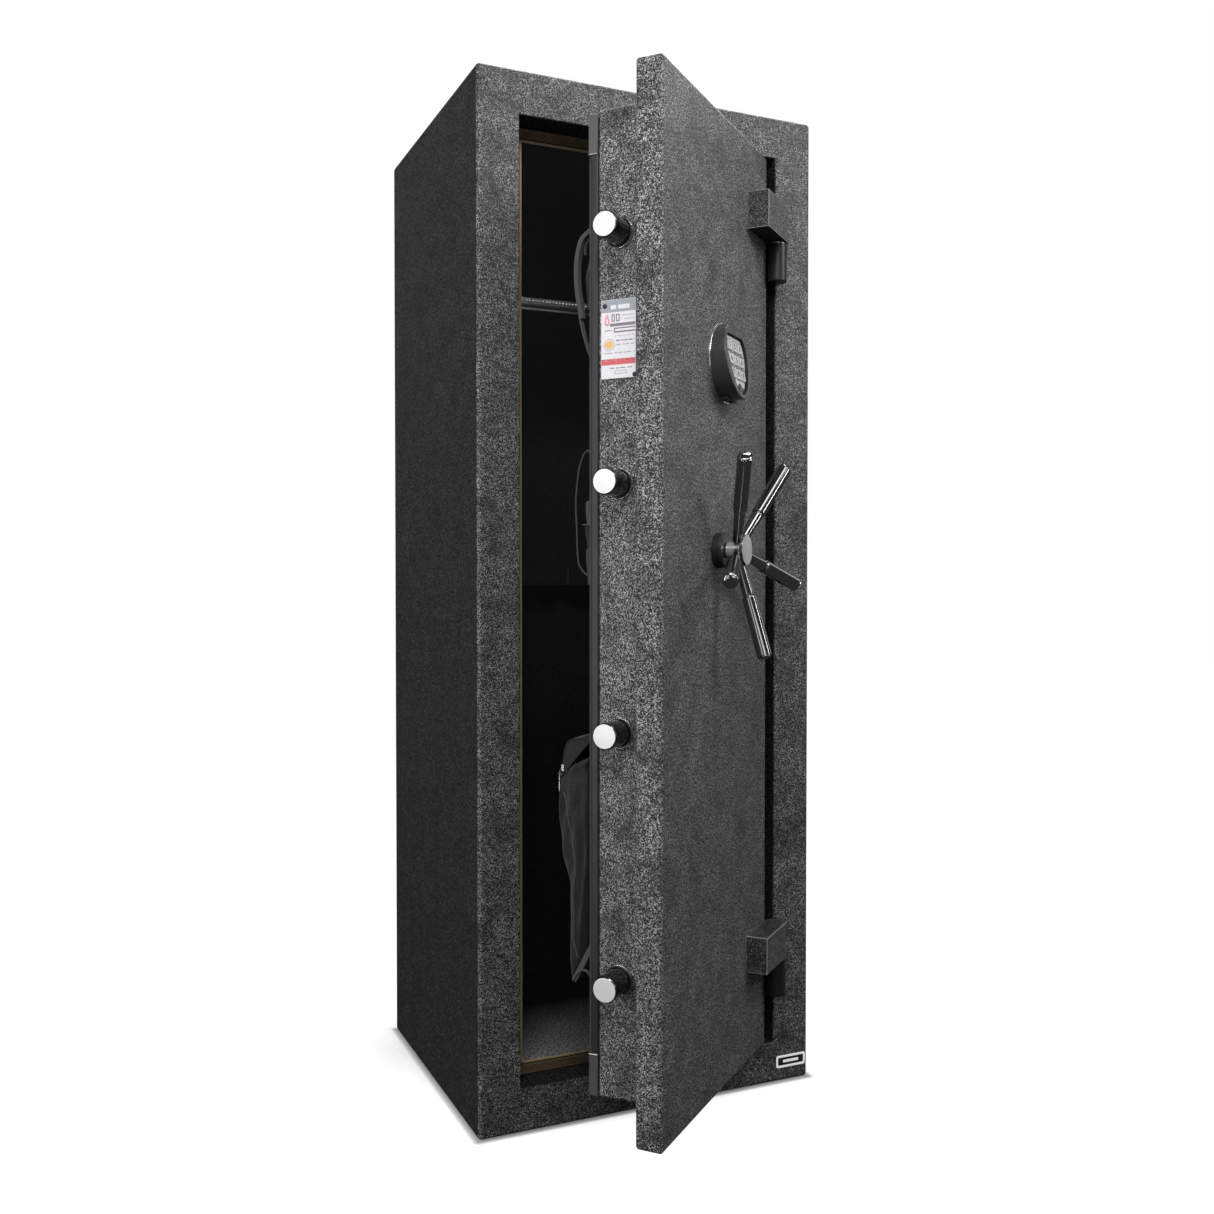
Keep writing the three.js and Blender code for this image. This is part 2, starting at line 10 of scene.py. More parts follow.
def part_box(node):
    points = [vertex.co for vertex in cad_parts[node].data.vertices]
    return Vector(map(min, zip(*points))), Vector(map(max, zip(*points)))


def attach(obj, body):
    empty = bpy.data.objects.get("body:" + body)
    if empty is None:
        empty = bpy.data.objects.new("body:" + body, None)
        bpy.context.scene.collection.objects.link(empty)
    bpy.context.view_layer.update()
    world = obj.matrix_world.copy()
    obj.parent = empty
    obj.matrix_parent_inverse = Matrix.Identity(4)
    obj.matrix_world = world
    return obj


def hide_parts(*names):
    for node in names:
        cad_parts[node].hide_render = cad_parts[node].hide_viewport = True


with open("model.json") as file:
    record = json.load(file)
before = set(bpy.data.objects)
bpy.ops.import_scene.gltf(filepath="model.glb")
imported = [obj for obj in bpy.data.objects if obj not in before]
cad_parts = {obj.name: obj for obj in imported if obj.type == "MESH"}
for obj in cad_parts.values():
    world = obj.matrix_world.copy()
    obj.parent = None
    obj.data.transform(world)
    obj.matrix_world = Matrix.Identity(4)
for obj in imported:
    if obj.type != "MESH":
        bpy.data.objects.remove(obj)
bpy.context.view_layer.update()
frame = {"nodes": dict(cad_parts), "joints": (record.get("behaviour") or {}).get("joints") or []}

MM = 0.001
TAU = 2 * math.pi
scene = bpy.context.scene


# ---- the frame ----------------------------------------------------------------------------
SWING = next(j for j in frame["joints"] if j["name"] == "door_swing")
TURN = next(j for j in frame["joints"] if j["name"] == "handle_turn")
PRESS = next(j for j in frame["joints"] if j["name"] == "key_5_press")
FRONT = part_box("body_shell")[0].y

# The door's own frame: x = 0 on the hinge axis and negative towards the free edge, y = 0 on
# the slab's outer face and positive into the safe.
HINGE = Vector((SWING["pos_m"][0], SWING["pos_m"][1], 0))
OPEN_ANGLE = math.radians(-SWING["range_deg"][0])
DOOR = (
    Matrix.Translation(HINGE)
    @ Matrix.Rotation(OPEN_ANGLE, 4, "Z")
    @ Matrix.Translation((0, FRONT - HINGE.y, 0))
)
ROW = Matrix.Identity(4)
X_AXIS, Y_AXIS, Z_AXIS = (Vector(row) for row in Matrix.Identity(3))


def mm(value):
    """A number, or numbers nested in lists, from millimetres to metres."""
    return [mm(v) for v in value] if isinstance(value, (list, tuple)) else value * MM


def corners(points):
    points = np.array(points, float)
    return Vector(points.min(0)), Vector(points.max(0))


def local_box(node, place=DOOR):
    """Lowest and highest corner of a CAD node in the door's frame."""
    inverse = place.inverted()
    return corners([inverse @ v.co for v in frame["nodes"][node].data.vertices])


def long_axis(node):
    """The two ends of a round CAD node's own axis, in the row frame."""
    points = np.array([v.co for v in frame["nodes"][node].data.vertices], float)
    points = np.unique(points.round(6), axis=0)
    middle = points.mean(0)
    direction = np.linalg.svd(points - middle)[2][0]
    along = (points - middle) @ direction
    return Vector(middle + along.min() * direction), Vector(middle + along.max() * direction)


# ---- materials ----------------------------------------------------------------------------
def rgba(value):
    """A colour for a node socket, from a grey level or from three channels."""
    return (value, value, value * 1.01, 1) if isinstance(value, float) else (*value, 1)


class Look:
    """A node material built around one Principled shader, with object coordinates."""

    def __init__(self, name, color=0.05, roughness=0.5, metallic=0.0, specular=0.5):
        self.material = bpy.data.materials.new(name)
        self.material.use_nodes = True
        self.tree = self.material.node_tree
        self.shader = self.tree.nodes["Principled BSDF"]
        self.shader.inputs["Base Color"].default_value = rgba(color)
        self.shader.inputs["Roughness"].default_value = roughness
        self.shader.inputs["Metallic"].default_value = metallic
        self.shader.inputs["Specular IOR Level"].default_value = specular
        self.where = self.node("ShaderNodeTexCoord").outputs["Object"]

    def feed(self, socket, value):
        """Links a socket to another node's output, or sets its value."""
        if isinstance(value, bpy.types.NodeSocket):
            self.tree.links.new(value, socket)
        else:
            socket.default_value = value

    def node(self, kind, inputs=None, **settings):
        made = self.tree.nodes.new(kind)
        for key, value in settings.items():
            setattr(made, key, value)
        for key, value in (inputs or {}).items():
            self.feed(made.inputs[key], value)
        return made

    def stretched(self, x, y, z):
        """Object coordinates scaled along each axis."""
        inputs = {"Vector": self.where, "Scale": (x, y, z)}
        return self.node("ShaderNodeMapping", inputs).outputs["Vector"]

    def along(self, axis):
        """One of the object coordinates."""
        return self.node("ShaderNodeSeparateXYZ", {"Vector": self.where}).outputs[axis]

    def noise(self, grain, detail=2.0, roughness=0.5, distortion=0.0, where=None):
        inputs = {
            "Vector": where or self.where,
            "Scale": 1 / grain,
            "Detail": detail,
            "Roughness": roughness,
            "Distortion": distortion,
        }
        return self.node("ShaderNodeTexNoise", inputs).outputs["Fac"]

    def wave(self, pitch, direction, distortion=0.0, detail=0.0, rings=False):
        axis = {"rings_direction": direction} if rings else {"bands_direction": direction}
        kind = "RINGS" if rings else "BANDS"
        inputs = {
            "Vector": self.where,
            "Scale": math.pi / 10 / pitch,
            "Distortion": distortion,
            "Detail": detail,
        }
        return self.node("ShaderNodeTexWave", inputs, wave_type=kind, **axis).outputs["Fac"]

    def ramp(self, fac, *stops):
        """Colour from a value; stops are (position, grey or colour)."""
        made = self.node("ShaderNodeValToRGB", {"Fac": fac})
        elements = made.color_ramp.elements
        while len(elements) < len(stops):
            elements.new(0.5)
        for element, (position, color) in zip(elements, stops):
            element.position = position
            element.color = rgba(color)
        return made.outputs["Color"]

    def blend(self, fac, a, b):
        made = self.node("ShaderNodeMix", data_type="RGBA", blend_type="MIX")
        self.feed(made.inputs[0], fac)
        for socket, value in ((made.inputs[6], a), (made.inputs[7], b)):
            self.feed(socket, value if isinstance(value, bpy.types.NodeSocket) else rgba(value))
        return made.outputs[2]

    def math(self, operation, a, b=0.0):
        made = self.node("ShaderNodeMath", {0: a, 1: b}, operation=operation)
        return made.outputs[0]

    def vector(self, operation, a, b=(0, 0, 0), output="Vector"):
        made = self.node("ShaderNodeVectorMath", {0: a, 1: b}, operation=operation)
        return made.outputs[output]

    def use(self, name, socket):
        self.tree.links.new(socket, self.shader.inputs[name])

    def relief(self, height, distance):
        made = self.node("ShaderNodeBump", {"Height": height, "Distance": distance, "Strength": 1.0})
        self.use("Normal", made.outputs["Normal"])


def crinkle(name, grain, pit, body, crest_highlight, painted_glint, relief, roughness=0.5, patch=0.35, specular=0.5):
    """Crinkle powder coat: dark pits, a grey body and bright crests, in uneven patches. The dark of the
    pits is painted shade, and the bright of the crests and glints is painted highlight, on the noise that
    also bumps the surface.
    """
    look = Look(name, roughness=roughness, specular=specular)
    fine = look.noise(grain, 2.0, 0.6, 0.5)
    coarse = look.noise(grain * 2.3, 1.0, 0.5, 0.8)
    mixed = look.math("ADD", look.math("MULTIPLY", fine, 0.75), look.math("MULTIPLY", coarse, 0.25))
    # Dark pits here are painted shade, bright crests and glints painted highlights.
    strong = look.ramp(mixed, (0.43, pit), (0.48, body), (0.53, crest_highlight), (0.58, painted_glint))
    calm_pit = body * 0.5 + pit * 0.5
    calm_painted_glint = crest_highlight * 0.6 + painted_glint * 0.4
    calm = look.ramp(mixed, (0.42, calm_pit), (0.48, body), (0.56, crest_highlight * 0.9), (0.64, calm_painted_glint))
    area = look.noise(42 * MM, 2.5, 0.6, 0.6)
    share = look.ramp(area, (0.58 - patch / 2, 0.0), (0.58 + patch / 2, 1.0))
    look.use("Base Color", look.blend(share, strong, calm))
    look.relief(mixed, relief)
    return look.material


def carpet(name, dark, light, grain=2.2 * MM, painted_glow=None, shade=None):
    """Tufted pile, with an optional painted glow, one strength at the foot and one at the top, and an
    optional depth over which painted shade darkens it towards the back.
    """
    look = Look(name, roughness=1.0, specular=0.1)
    tuft = look.noise(grain, 3.0, 0.7)
    worn = look.noise(70 * MM, 2.0)
    pile = look.ramp(tuft, (0.36, dark), (0.5, (dark + light) / 2), (0.66, light))
    color = look.blend(look.math("MULTIPLY", worn, 0.5), pile, dark)
    if shade:
        # Painted shade: the colour fades to black towards the back.
        reach = look.node("ShaderNodeMapRange", {
            "Value": look.along("Y"), "From Min": shade[0], "From Max": shade[1]}).outputs["Result"]
        color = look.blend(reach, color, 0.002)
    look.use("Base Color", color)
    look.shader.inputs["Sheen Weight"].default_value = 0.05 if shade else 0.15
    if painted_glow:
        # Painted glow: the pile gives off light, more towards the top.
        look.use("Emission Color", look.ramp(look.along("Z"), (0.45, painted_glow[0]), (0.95, painted_glow[1])))
        look.shader.inputs["Emission Strength"].default_value = 1.0
    look.relief(tuft, 1.2 * MM)
    return look.material


def woven(name, color, pitch=1.5 * MM, lift=0.5, roughness=0.75):
    """Plain woven nylon: warp and weft bands, a little uneven."""
    look = Look(name, roughness=roughness, specular=0.35)
    warp = look.wave(pitch, "X", 0.6, 1.0)
    weft = look.wave(pitch, "Z", 0.6, 1.0)
    weave = look.math("MULTIPLY", look.math("ADD", warp, weft), 0.5)
    uneven = look.noise(38 * MM, 3.0, 0.6)
    shade = look.ramp(weave, (0.15, color * 0.55), (0.85, color * 1.5))
    look.use("Base Color", look.blend(look.math("MULTIPLY", uneven, 0.6), shade, color * 0.7))
    look.shader.inputs["Sheen Weight"].default_value = 0.2
    look.relief(weave, lift * MM)
    return look.material


def moulded(name, color, roughness=0.4, grain=0.9 * MM, relief=0.05 * MM):
    """Moulded plastic with a fine spark-eroded texture and faint handling marks."""
    look = Look(name, color, roughness)
    marks = look.noise(30 * MM, 4.0, 0.6)
    low, high = max(roughness - 0.08, 0.05), roughness + 0.1
    look.use("Roughness", look.ramp(marks, (0.35, low), (0.65, high)))
    look.use("Base Color", look.ramp(marks, (0.3, color * 0.85), (0.7, color * 1.15)))
    look.relief(look.noise(grain, 2.0), relief)
    return look.material


def brushed(name, color, roughness, along, pitch=0.6 * MM, rings=False, relief=0.03 * MM, metal=1.0):
    """Metal with fine tool marks: straight along an axis, or turned rings about it."""
    look = Look(name, color, roughness, metallic=metal)
    if rings:
        marks = look.wave(pitch, along, 1.2, 2.0, rings=True)
    else:
        spread = {"X": (0.04, 1, 1), "Y": (1, 0.04, 1), "Z": (1, 1, 0.04)}[along]
        marks = look.noise(pitch, 3.0, 0.6, where=look.stretched(*spread))
    look.use("Base Color", look.ramp(marks, (0.3, color * 0.82), (0.7, min(color * 1.1, 1.0))))
    dirt = look.noise(22 * MM, 3.0, 0.6)
    look.use("Roughness", look.ramp(dirt, (0.3, roughness * 0.8), (0.7, roughness * 1.35)))
    look.relief(marks, relief)
    return look.material


def satin_paint(name, color, roughness=0.42, grain=2.5 * MM, relief=0.06 * MM):
    """Smooth paint on folded sheet: slight orange peel and faint rub marks."""
    look = Look(name, color, roughness)
    peel = look.noise(grain, 2.0)
    rub = look.noise(60 * MM, 4.0, 0.65, where=look.stretched(1, 1, 0.25))
    look.use("Base Color", look.ramp(rub, (0.3, color * 0.82), (0.7, color * 1.2)))
    look.use("Roughness", look.ramp(rub, (0.3, roughness * 0.85), (0.7, roughness * 1.2)))
    look.relief(peel, relief)
    return look.material


def seal_foam(name, dark, light):
    look = Look(name, (0.1, 0.075, 0.045), 0.95, specular=0.1)
    fibre = look.noise(1.6 * MM, 3.0, 0.7)
    look.use("Base Color", look.ramp(fibre, (0.3, dark), (0.7, light)))
    look.relief(fibre, 0.5 * MM)
    return look.material


def gypsum():
    look = Look("gypsum", (0.62, 0.58, 0.5), 0.95, specular=0.1)
    paper = look.noise(4 * MM, 4.0, 0.7)
    look.use("Base Color", look.ramp(paper, (0.3, (0.5, 0.46, 0.39)), (0.7, (0.68, 0.64, 0.56))))
    look.relief(paper, 0.2 * MM)
    return look.material


def printed(name, color, roughness=0.35, glow=0.0):
    """Printed film: an even ink colour with a slight mottle and gloss, and an optional painted glow."""
    look = Look(name, color, roughness)
    look.shader.inputs["Emission Color"].default_value = (1, 1, 1, 1)
    look.shader.inputs["Emission Strength"].default_value = glow
    mottle = look.noise(3 * MM, 3.0, 0.6)
    dim = tuple(c * 0.93 for c in color)
    look.use("Base Color", look.ramp(mottle, (0.35, dim), (0.65, color)))
    return look.material


# The crinkle looks below are copies of one powder coat, each given its own brightness for the faces it
# covers: lit and shaded copies, painted light. The dull copy, also rougher, is painted shade on the
# cabinet's sides, top and back, the jamb and the hinge blocks' undersides. The two block copies are the
# hinge blocks' shaded sides and lit fronts.
STRONG = crinkle("crinkle_strong", 1.15 * MM, 0.001, 0.004, 0.042, 0.52, 0.6 * MM)
COARSE = crinkle("crinkle_coarse", 1.2 * MM, 0.001, 0.005, 0.056, 0.70, 0.75 * MM, patch=0.3)
BLOCK_SHADED_SIDE = crinkle("crinkle_block", 1.5 * MM, 0.001, 0.008, 0.035, 0.22, 0.6 * MM)
BLOCK_LIT_FACE = crinkle("crinkle_block_face", 1.3 * MM, 0.012, 0.055, 0.15, 0.40, 0.4 * MM, patch=0.5)
FINE = crinkle("crinkle_fine", 1.25 * MM, 0.001, 0.010, 0.12, 0.8, 0.8 * MM, patch=0.5)
DULL_SHADED_COAT = crinkle("crinkle_dull_shaded", 1.6 * MM, 0.002, 0.009, 0.022, 0.10, 0.4 * MM, 0.75, 0.6, 0.2)
COVER_PAINT = satin_paint("cover_paint", 0.024)
# Near-black satin paint for the hinge posts, darker than the coat so that it stands in for the shade
# under the hinge blocks: partly painted shade.
POST_SHADE_PAINT = satin_paint("post_shade_paint", 0.010, 0.32)
CAP_PAINT = satin_paint("cap_paint", 0.1, 0.35)
SEAL = seal_foam("seal_foam", (0.06, 0.044, 0.026), (0.22, 0.165, 0.10))
SEAL_BULB = seal_foam("seal_bulb", (0.30, 0.21, 0.12), (0.55, 0.41, 0.26))
GYPSUM = gypsum()
# The liners get a painted glow rising to the top, the floor carpet painted shade towards the back.
CARPET = carpet("carpet", 0.008, 0.026, painted_glow=(0.0002, 0.0042))
FLOOR_CARPET = carpet("floor_carpet", 0.01, 0.75, 3.5 * MM, shade=(-0.16, 0.03))
STEEL = brushed("machined_steel", 0.5, 0.32, "Z")
EDGE_METAL = brushed("edge_metal", 0.6, 0.3, "X")
BOLT_SIDE = brushed("bolt_side", 0.12, 0.12, "Z", 0.25 * MM, True, 0.004 * MM)
# Machined bolt ends: lighter steel, given a near-white, mostly non-metal colour that also paints in the
# reflection of bright light on their faces.
BOLT_END = brushed("bolt_end", 0.95, 0.34, "Z", 1.1 * MM, True, 0.004 * MM, 0.15)
BRIGHT = brushed("bright_screw", 0.8, 0.2, "Z", 0.5 * MM, True, 0.01 * MM)
DARK_CHROME = brushed("dark_chrome", 0.26, 0.09, "Z", 0.4 * MM, False, 0.002 * MM)
HUB_FACE = brushed("hub_face", 0.5, 0.3, "Y", 0.35 * MM, False, 0.05 * MM, 0.5)
# Pale grey paint for the hinge blocks' rounded edges.
PALE_EDGE = satin_paint("pale_edge", 0.5, 0.4)
SLEEVE = brushed("bright_sleeve", 0.8, 0.16, "Z", 0.4 * MM, False, 0.002 * MM, 0.7)
PLASTIC = moulded("black_plastic", 0.022, 0.38)
CASE_PLASTIC = moulded("case_plastic", 0.05, 0.3)
DULL_PLASTIC = moulded("dull_plastic", 0.008, 0.5)
KEY_FILM = moulded("key_film", 0.78, 0.35, 1.2 * MM, 0.04 * MM)
PLATE_GREY = moulded("plate_grey", 0.16, 0.4)
INK = moulded("ink", 0.012, 0.4)
NYLON = woven("nylon", 0.019)
WEBBING = woven("webbing", 0.075, 1.1 * MM, 0.35)
LINING = woven("pouch_lining", 0.012)
WHITE_PRINT = printed("print_white", (0.86, 0.84, 0.86))
# The badge's white has a painted glow that lights it beyond plain print.
GLOWING_BADGE_WHITE = printed("badge_white_painted_glow", (0.92, 0.92, 0.93), glow=0.3)
SLATE_PRINT = printed("print_slate", (0.36, 0.38, 0.43))
GREY_PRINT = printed("print_grey", (0.22, 0.20, 0.23))
PALE_PRINT = printed("print_pale", (0.48, 0.47, 0.58))
RED_PRINT = printed("print_red", (0.72, 0.11, 0.13))
PINK_PRINT = printed("print_pink", (0.85, 0.33, 0.36))
GOLD_PRINT = printed("print_gold", (0.90, 0.56, 0.18))


# ---- making pieces ------------------------------------------------------------------------
def modify(obj, name, kind, **settings):
    made = obj.modifiers.new(name, kind)
    for key, value in settings.items():
        setattr(made, key, value)
    return made


def settle(obj):
    """Applies the modifiers of an object to its mesh."""
    bpy.context.view_layer.update()
    graph = bpy.context.evaluated_depsgraph_get()
    mesh = bpy.data.meshes.new_from_object(obj.evaluated_get(graph))
    old = obj.data
    obj.modifiers.clear()
    obj.data = mesh
    bpy.data.meshes.remove(old)


def make(name, bm, looks, place=ROW, smooth=True):
    mesh = bpy.data.meshes.new(name)
    bmesh.ops.recalc_face_normals(bm, faces=bm.faces)
    bm.to_mesh(mesh)
    bm.free()
    for look in looks if isinstance(looks, (list, tuple)) else [looks]:
        mesh.materials.append(look)
    mesh.polygons.foreach_set("use_smooth", [smooth] * len(mesh.polygons))
    obj = bpy.data.objects.new(name, mesh)
    obj.matrix_world = place
    scene.collection.objects.link(obj)
    return obj


def carve(obj, *cutters):
    """Cuts closed bmeshes, given in the object's own frame, out of it."""
    tools = [make("cutter", bm, [], obj.matrix_world.copy(), False) for bm in cutters]
    for tool in tools:
        modify(obj, "cut", "BOOLEAN", operation="DIFFERENCE", solver="EXACT", object=tool)
    settle(obj)
    for tool in tools:
        bpy.data.objects.remove(tool)


def weighted(obj, angle=40):
    """Even shading: sharp only over the angle, flats kept flat."""
    obj.data.set_sharp_from_angle(angle=math.radians(angle))
    modify(obj, "shade", "WEIGHTED_NORMAL", keep_sharp=True, weight=100)


def round_edges(obj, width, segments=3, angle=32):
    modify(obj, "edges", "BEVEL", width=width, segments=segments, limit_method="ANGLE",
           angle_limit=math.radians(angle), use_clamp_overlap=True)


def enter(obj, body, stands_for=()):
    """The piece joins the object: it rides on a body and may stand for CAD nodes."""
    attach(obj, body)
    if stands_for:
        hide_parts(*stands_for)
    return obj


def add(name, bm, looks, body, stands_for=(), place=DOOR, angle=40, smooth=True):
    """A piece that needs nothing more than its shape, its look and its place in the object."""
    piece = make(name, bm, looks, place, smooth)
    if angle:
        weighted(piece, angle)
    enter(piece, body, stands_for)


def by_facing(obj, test, index):
    """Gives the faces whose normal passes the test the object's material of that index."""
    for face in obj.data.polygons:
        if test(face.normal, face.center):
            face.material_index = index


def bridge(bm, a, b):
    """Faces between two loops with the same number of corners."""
    for k in range(len(a)):
        j = (k + 1) % len(a)
        bm.faces.new((a[k], a[j], b[j], b[k]))


def prism(rings, closed=False):
    """A form through rings of points: round again to the first ring, or with both ends shut."""
    bm = bmesh.new()
    loops = [[bm.verts.new(p) for p in ring] for ring in rings]
    for a, b in zip(loops, loops[1:] + (loops[:1] if closed else [])):
        bridge(bm, a, b)
    if not closed:
        bm.faces.new(loops[0])
        bm.faces.new(loops[-1])
    return bm


def skin(bm, grid):
    """Faces over a grid of vertices."""
    for below, above in zip(grid, grid[1:]):
        for i in range(len(below) - 1):
            bm.faces.new((below[i], below[i + 1], above[i + 1], above[i]))


def shell(bm, grids):
    """Closes two grids of the same size into one form."""
    for grid in grids:
        skin(bm, grid)
    bridge(bm, *[grid[0] + [line[-1] for line in grid[1:]] + grid[-1][-2::-1]
                 + [line[0] for line in grid[-2:0:-1]] for grid in grids])


def block(low, high):
    bm = bmesh.new()
    bmesh.ops.create_cube(bm, size=1)
    size = Vector(high) - Vector(low)
    bmesh.ops.scale(bm, vec=size, verts=bm.verts)
    bmesh.ops.translate(bm, vec=(Vector(low) + Vector(high)) / 2, verts=bm.verts)
    return bm


def soft_block(low, high, radius, segments=4):
    """A box with every edge and corner rounded."""
    bm = block(low, high)
    bmesh.ops.bevel(
        bm, geom=bm.edges[:], offset=radius, segments=segments, profile=0.5, affect="EDGES"
    )
    return bm


def turned(profile, sides=48):
    """A body turned about +Z. The profile is (radius, height), from the axis back to the axis,
    or a closed section that stays off the axis."""
    bm = bmesh.new()
    angles = [TAU * k / sides for k in range(sides)]
    rings = [
        [bm.verts.new((0, 0, z))] if r < 1e-7
        else [bm.verts.new((r * math.cos(a), r * math.sin(a), z)) for a in angles]
        for r, z in profile
    ]
    pairs = list(zip(rings, rings[1:]))
    if len(rings[0]) > 1:
        pairs.append((rings[-1], rings[0]))
    for a, b in pairs:
        for k in range(sides):
            loop = [a[k % len(a)], a[(k + 1) % len(a)], b[(k + 1) % len(b)], b[k % len(b)]]
            loop = list(dict.fromkeys(loop))
            if len(loop) > 2:
                bm.faces.new(loop)
    return bm


def drill(radius, start, end, sides):
    """A straight round cutter along +Z, in millimetres."""
    return turned(mm([(0, start), (radius, start), (radius, end), (0, end)]), sides)


def hollow(low, high, sheet):
    """The room inside a folded case that is open to its near side."""
    return block((low.x + sheet, low.y - MM, low.z + sheet),
                 (high.x - sheet, high.y - sheet, high.z - sheet))


def fillet(points, radius, steps=4, closed=False):
    """A 2-D outline with its corners rounded. Radius is one value, or one for each point."""
    count = len(points)
    radii = radius if isinstance(radius, (list, tuple)) else [radius] * count
    made = []
    for i, p in enumerate(points):
        p = Vector(p)
        if radii[i] == 0 or (not closed and i in (0, count - 1)):
            made.append(tuple(p))
            continue
        to_last = Vector(points[i - 1]) - p
        to_next = Vector(points[(i + 1) % count]) - p
        reach = min(radii[i], 0.49 * to_last.length, 0.49 * to_next.length)
        a, b = p + to_last.normalized() * reach, p + to_next.normalized() * reach
        made += [tuple(a)] + quadratic(a, p, b, steps)
    return made


def quadratic(a, control, b, steps=6):
    """Points after a on a quadratic curve to b."""
    a, control, b = Vector(a), Vector(control), Vector(b)
    return [tuple(a * (1 - t) ** 2 + control * 2 * t * (1 - t) + b * t ** 2)
            for t in (k / steps for k in range(1, steps + 1))]


def rounded_rectangle(x0, x1, z0, z1, radius, steps=5):
    return fillet([(x0, z0), (x1, z0), (x1, z1), (x0, z1)], radius, steps, closed=True)


def plate(outline, near, far):
    """An outline in (x, z), from y = near to y = far."""
    return prism([[(x, y, z) for x, z in outline] for y in (near, far)])


def swept(points, section, across, closed=False):
    """A section of (u, v) carried along points; u runs along the across vector."""
    points = [Vector(p) for p in points]
    count = len(points)
    rings = []
    for i, p in enumerate(points):
        last = points[i - 1] if i or closed else p
        following = points[(i + 1) % count] if i < count - 1 or closed else p
        tangent = (following - last).normalized()
        u_axis = (across - tangent * across.dot(tangent)).normalized()
        v_axis = tangent.cross(u_axis)
        rings.append([p + u_axis * u + v_axis * v for u, v in section])
    return prism(rings, closed)


def circle(radius, sides=10):
    return [(radius * math.cos(TAU * k / sides), radius * math.sin(TAU * k / sides))
            for k in range(sides)]


def tape(width, thickness, steps=2):
    """Cross-section of a flat tape with rounded edges."""
    w, t = width / 2, thickness / 2
    return rounded_rectangle(-w, w, -t, t, t * 0.8, steps)


def curve_through(points, steps=8):
    """A smooth line through points (Catmull-Rom)."""
    points = [Vector(p) for p in points]
    ends = [points[0] * 2 - points[1]] + points + [points[-1] * 2 - points[-2]]
    made = []
    for i in range(1, len(ends) - 2):
        a, b, c, d = ends[i - 1:i + 3]
        for k in range(steps):
            t = k / steps
            made.append(0.5 * (2 * b + (c - a) * t + (2 * a - 5 * b + 4 * c - d) * t ** 2
                               + (3 * b - a - 3 * c + d) * t ** 3))
    made.append(points[-1])
    return made


def aimed(origin, direction):
    """A place whose +Z points along direction."""
    turn = Vector(direction).to_track_quat("Z", "Y").to_matrix().to_4x4()
    return Matrix.Translation(origin) @ turn


def merged(parts):
    """One bmesh from several."""
    bm = bmesh.new()
    for part in parts:
        mesh = bpy.data.meshes.new("part")
        part.to_mesh(mesh)
        part.free()
        bm.from_mesh(mesh)
        bpy.data.meshes.remove(mesh)
    return bm


def shifted(bm, place):
    bmesh.ops.transform(bm, matrix=place, verts=bm.verts)
    return bm


# ---- CAD nodes that keep their shape ------------------------------------------------------
def dress(names, look, edge=0.0, segments=2):
    """Gives CAD nodes a material, and rounds their edges without touching their meshes."""
    for name in names:
        obj = frame["nodes"][name]
        obj.data.materials.clear()
        obj.data.materials.append(look)
        if edge:
            modify(obj, "weld", "WELD", merge_threshold=1e-5)
            round_edges(obj, edge, segments)
            modify(obj, "shade", "WEIGHTED_NORMAL", keep_sharp=True)


def dress_frame():
    dress(["fire_board", "door_fire_board"], GYPSUM)
    dress(["liner_left", "liner_right", "liner_back", "liner_ceiling"], CARPET, 1 * MM)
    dress(["shelf", "barrel_rest"], CARPET, 2 * MM)
    dress(["floor_panel"], FLOOR_CARPET)
    dress(["door_seal"], SEAL, 0.5 * MM)
    # The jamb takes the dull copy of the coat: painted shade inside the door opening.
    dress(["door_jamb"], DULL_SHADED_COAT, 0.8 * MM)
    dress(["shelf_trim"], EDGE_METAL, 0.3 * MM)
    dress(["hinge_pin_upper", "hinge_pin_lower"], STEEL, 0.4 * MM)
    dress(["hard_plate", "lock_body", "dead_bar", "bolt_bar", "drive_pinion"], STEEL, 0.4 * MM)


# ---- cabinet ------------------------------------------------------------------------------
SHEET = 3 * MM
ANCHOR_X, ANCHOR_Y = 0.175, 0.135
PIN_BORE, PIN_DEPTH = 6, 42
BOLT_BORE = 16.4


def frame_ring(bm, x, low, high, y):
    """Four corners of a rectangle facing the front."""
    return [bm.verts.new((sx * x, y, z)) for sx, z in ((-1, low), (1, low), (1, high), (-1, high))]


def anchor_holes():
    """Four bolt holes through the floor of the cabinet."""
    return [shifted(drill(6.5, -1, 5, 24), Matrix.Translation((sx * ANCHOR_X, sy * ANCHOR_Y, 0)))
            for sx in (-1, 1) for sy in (-1, 1)]


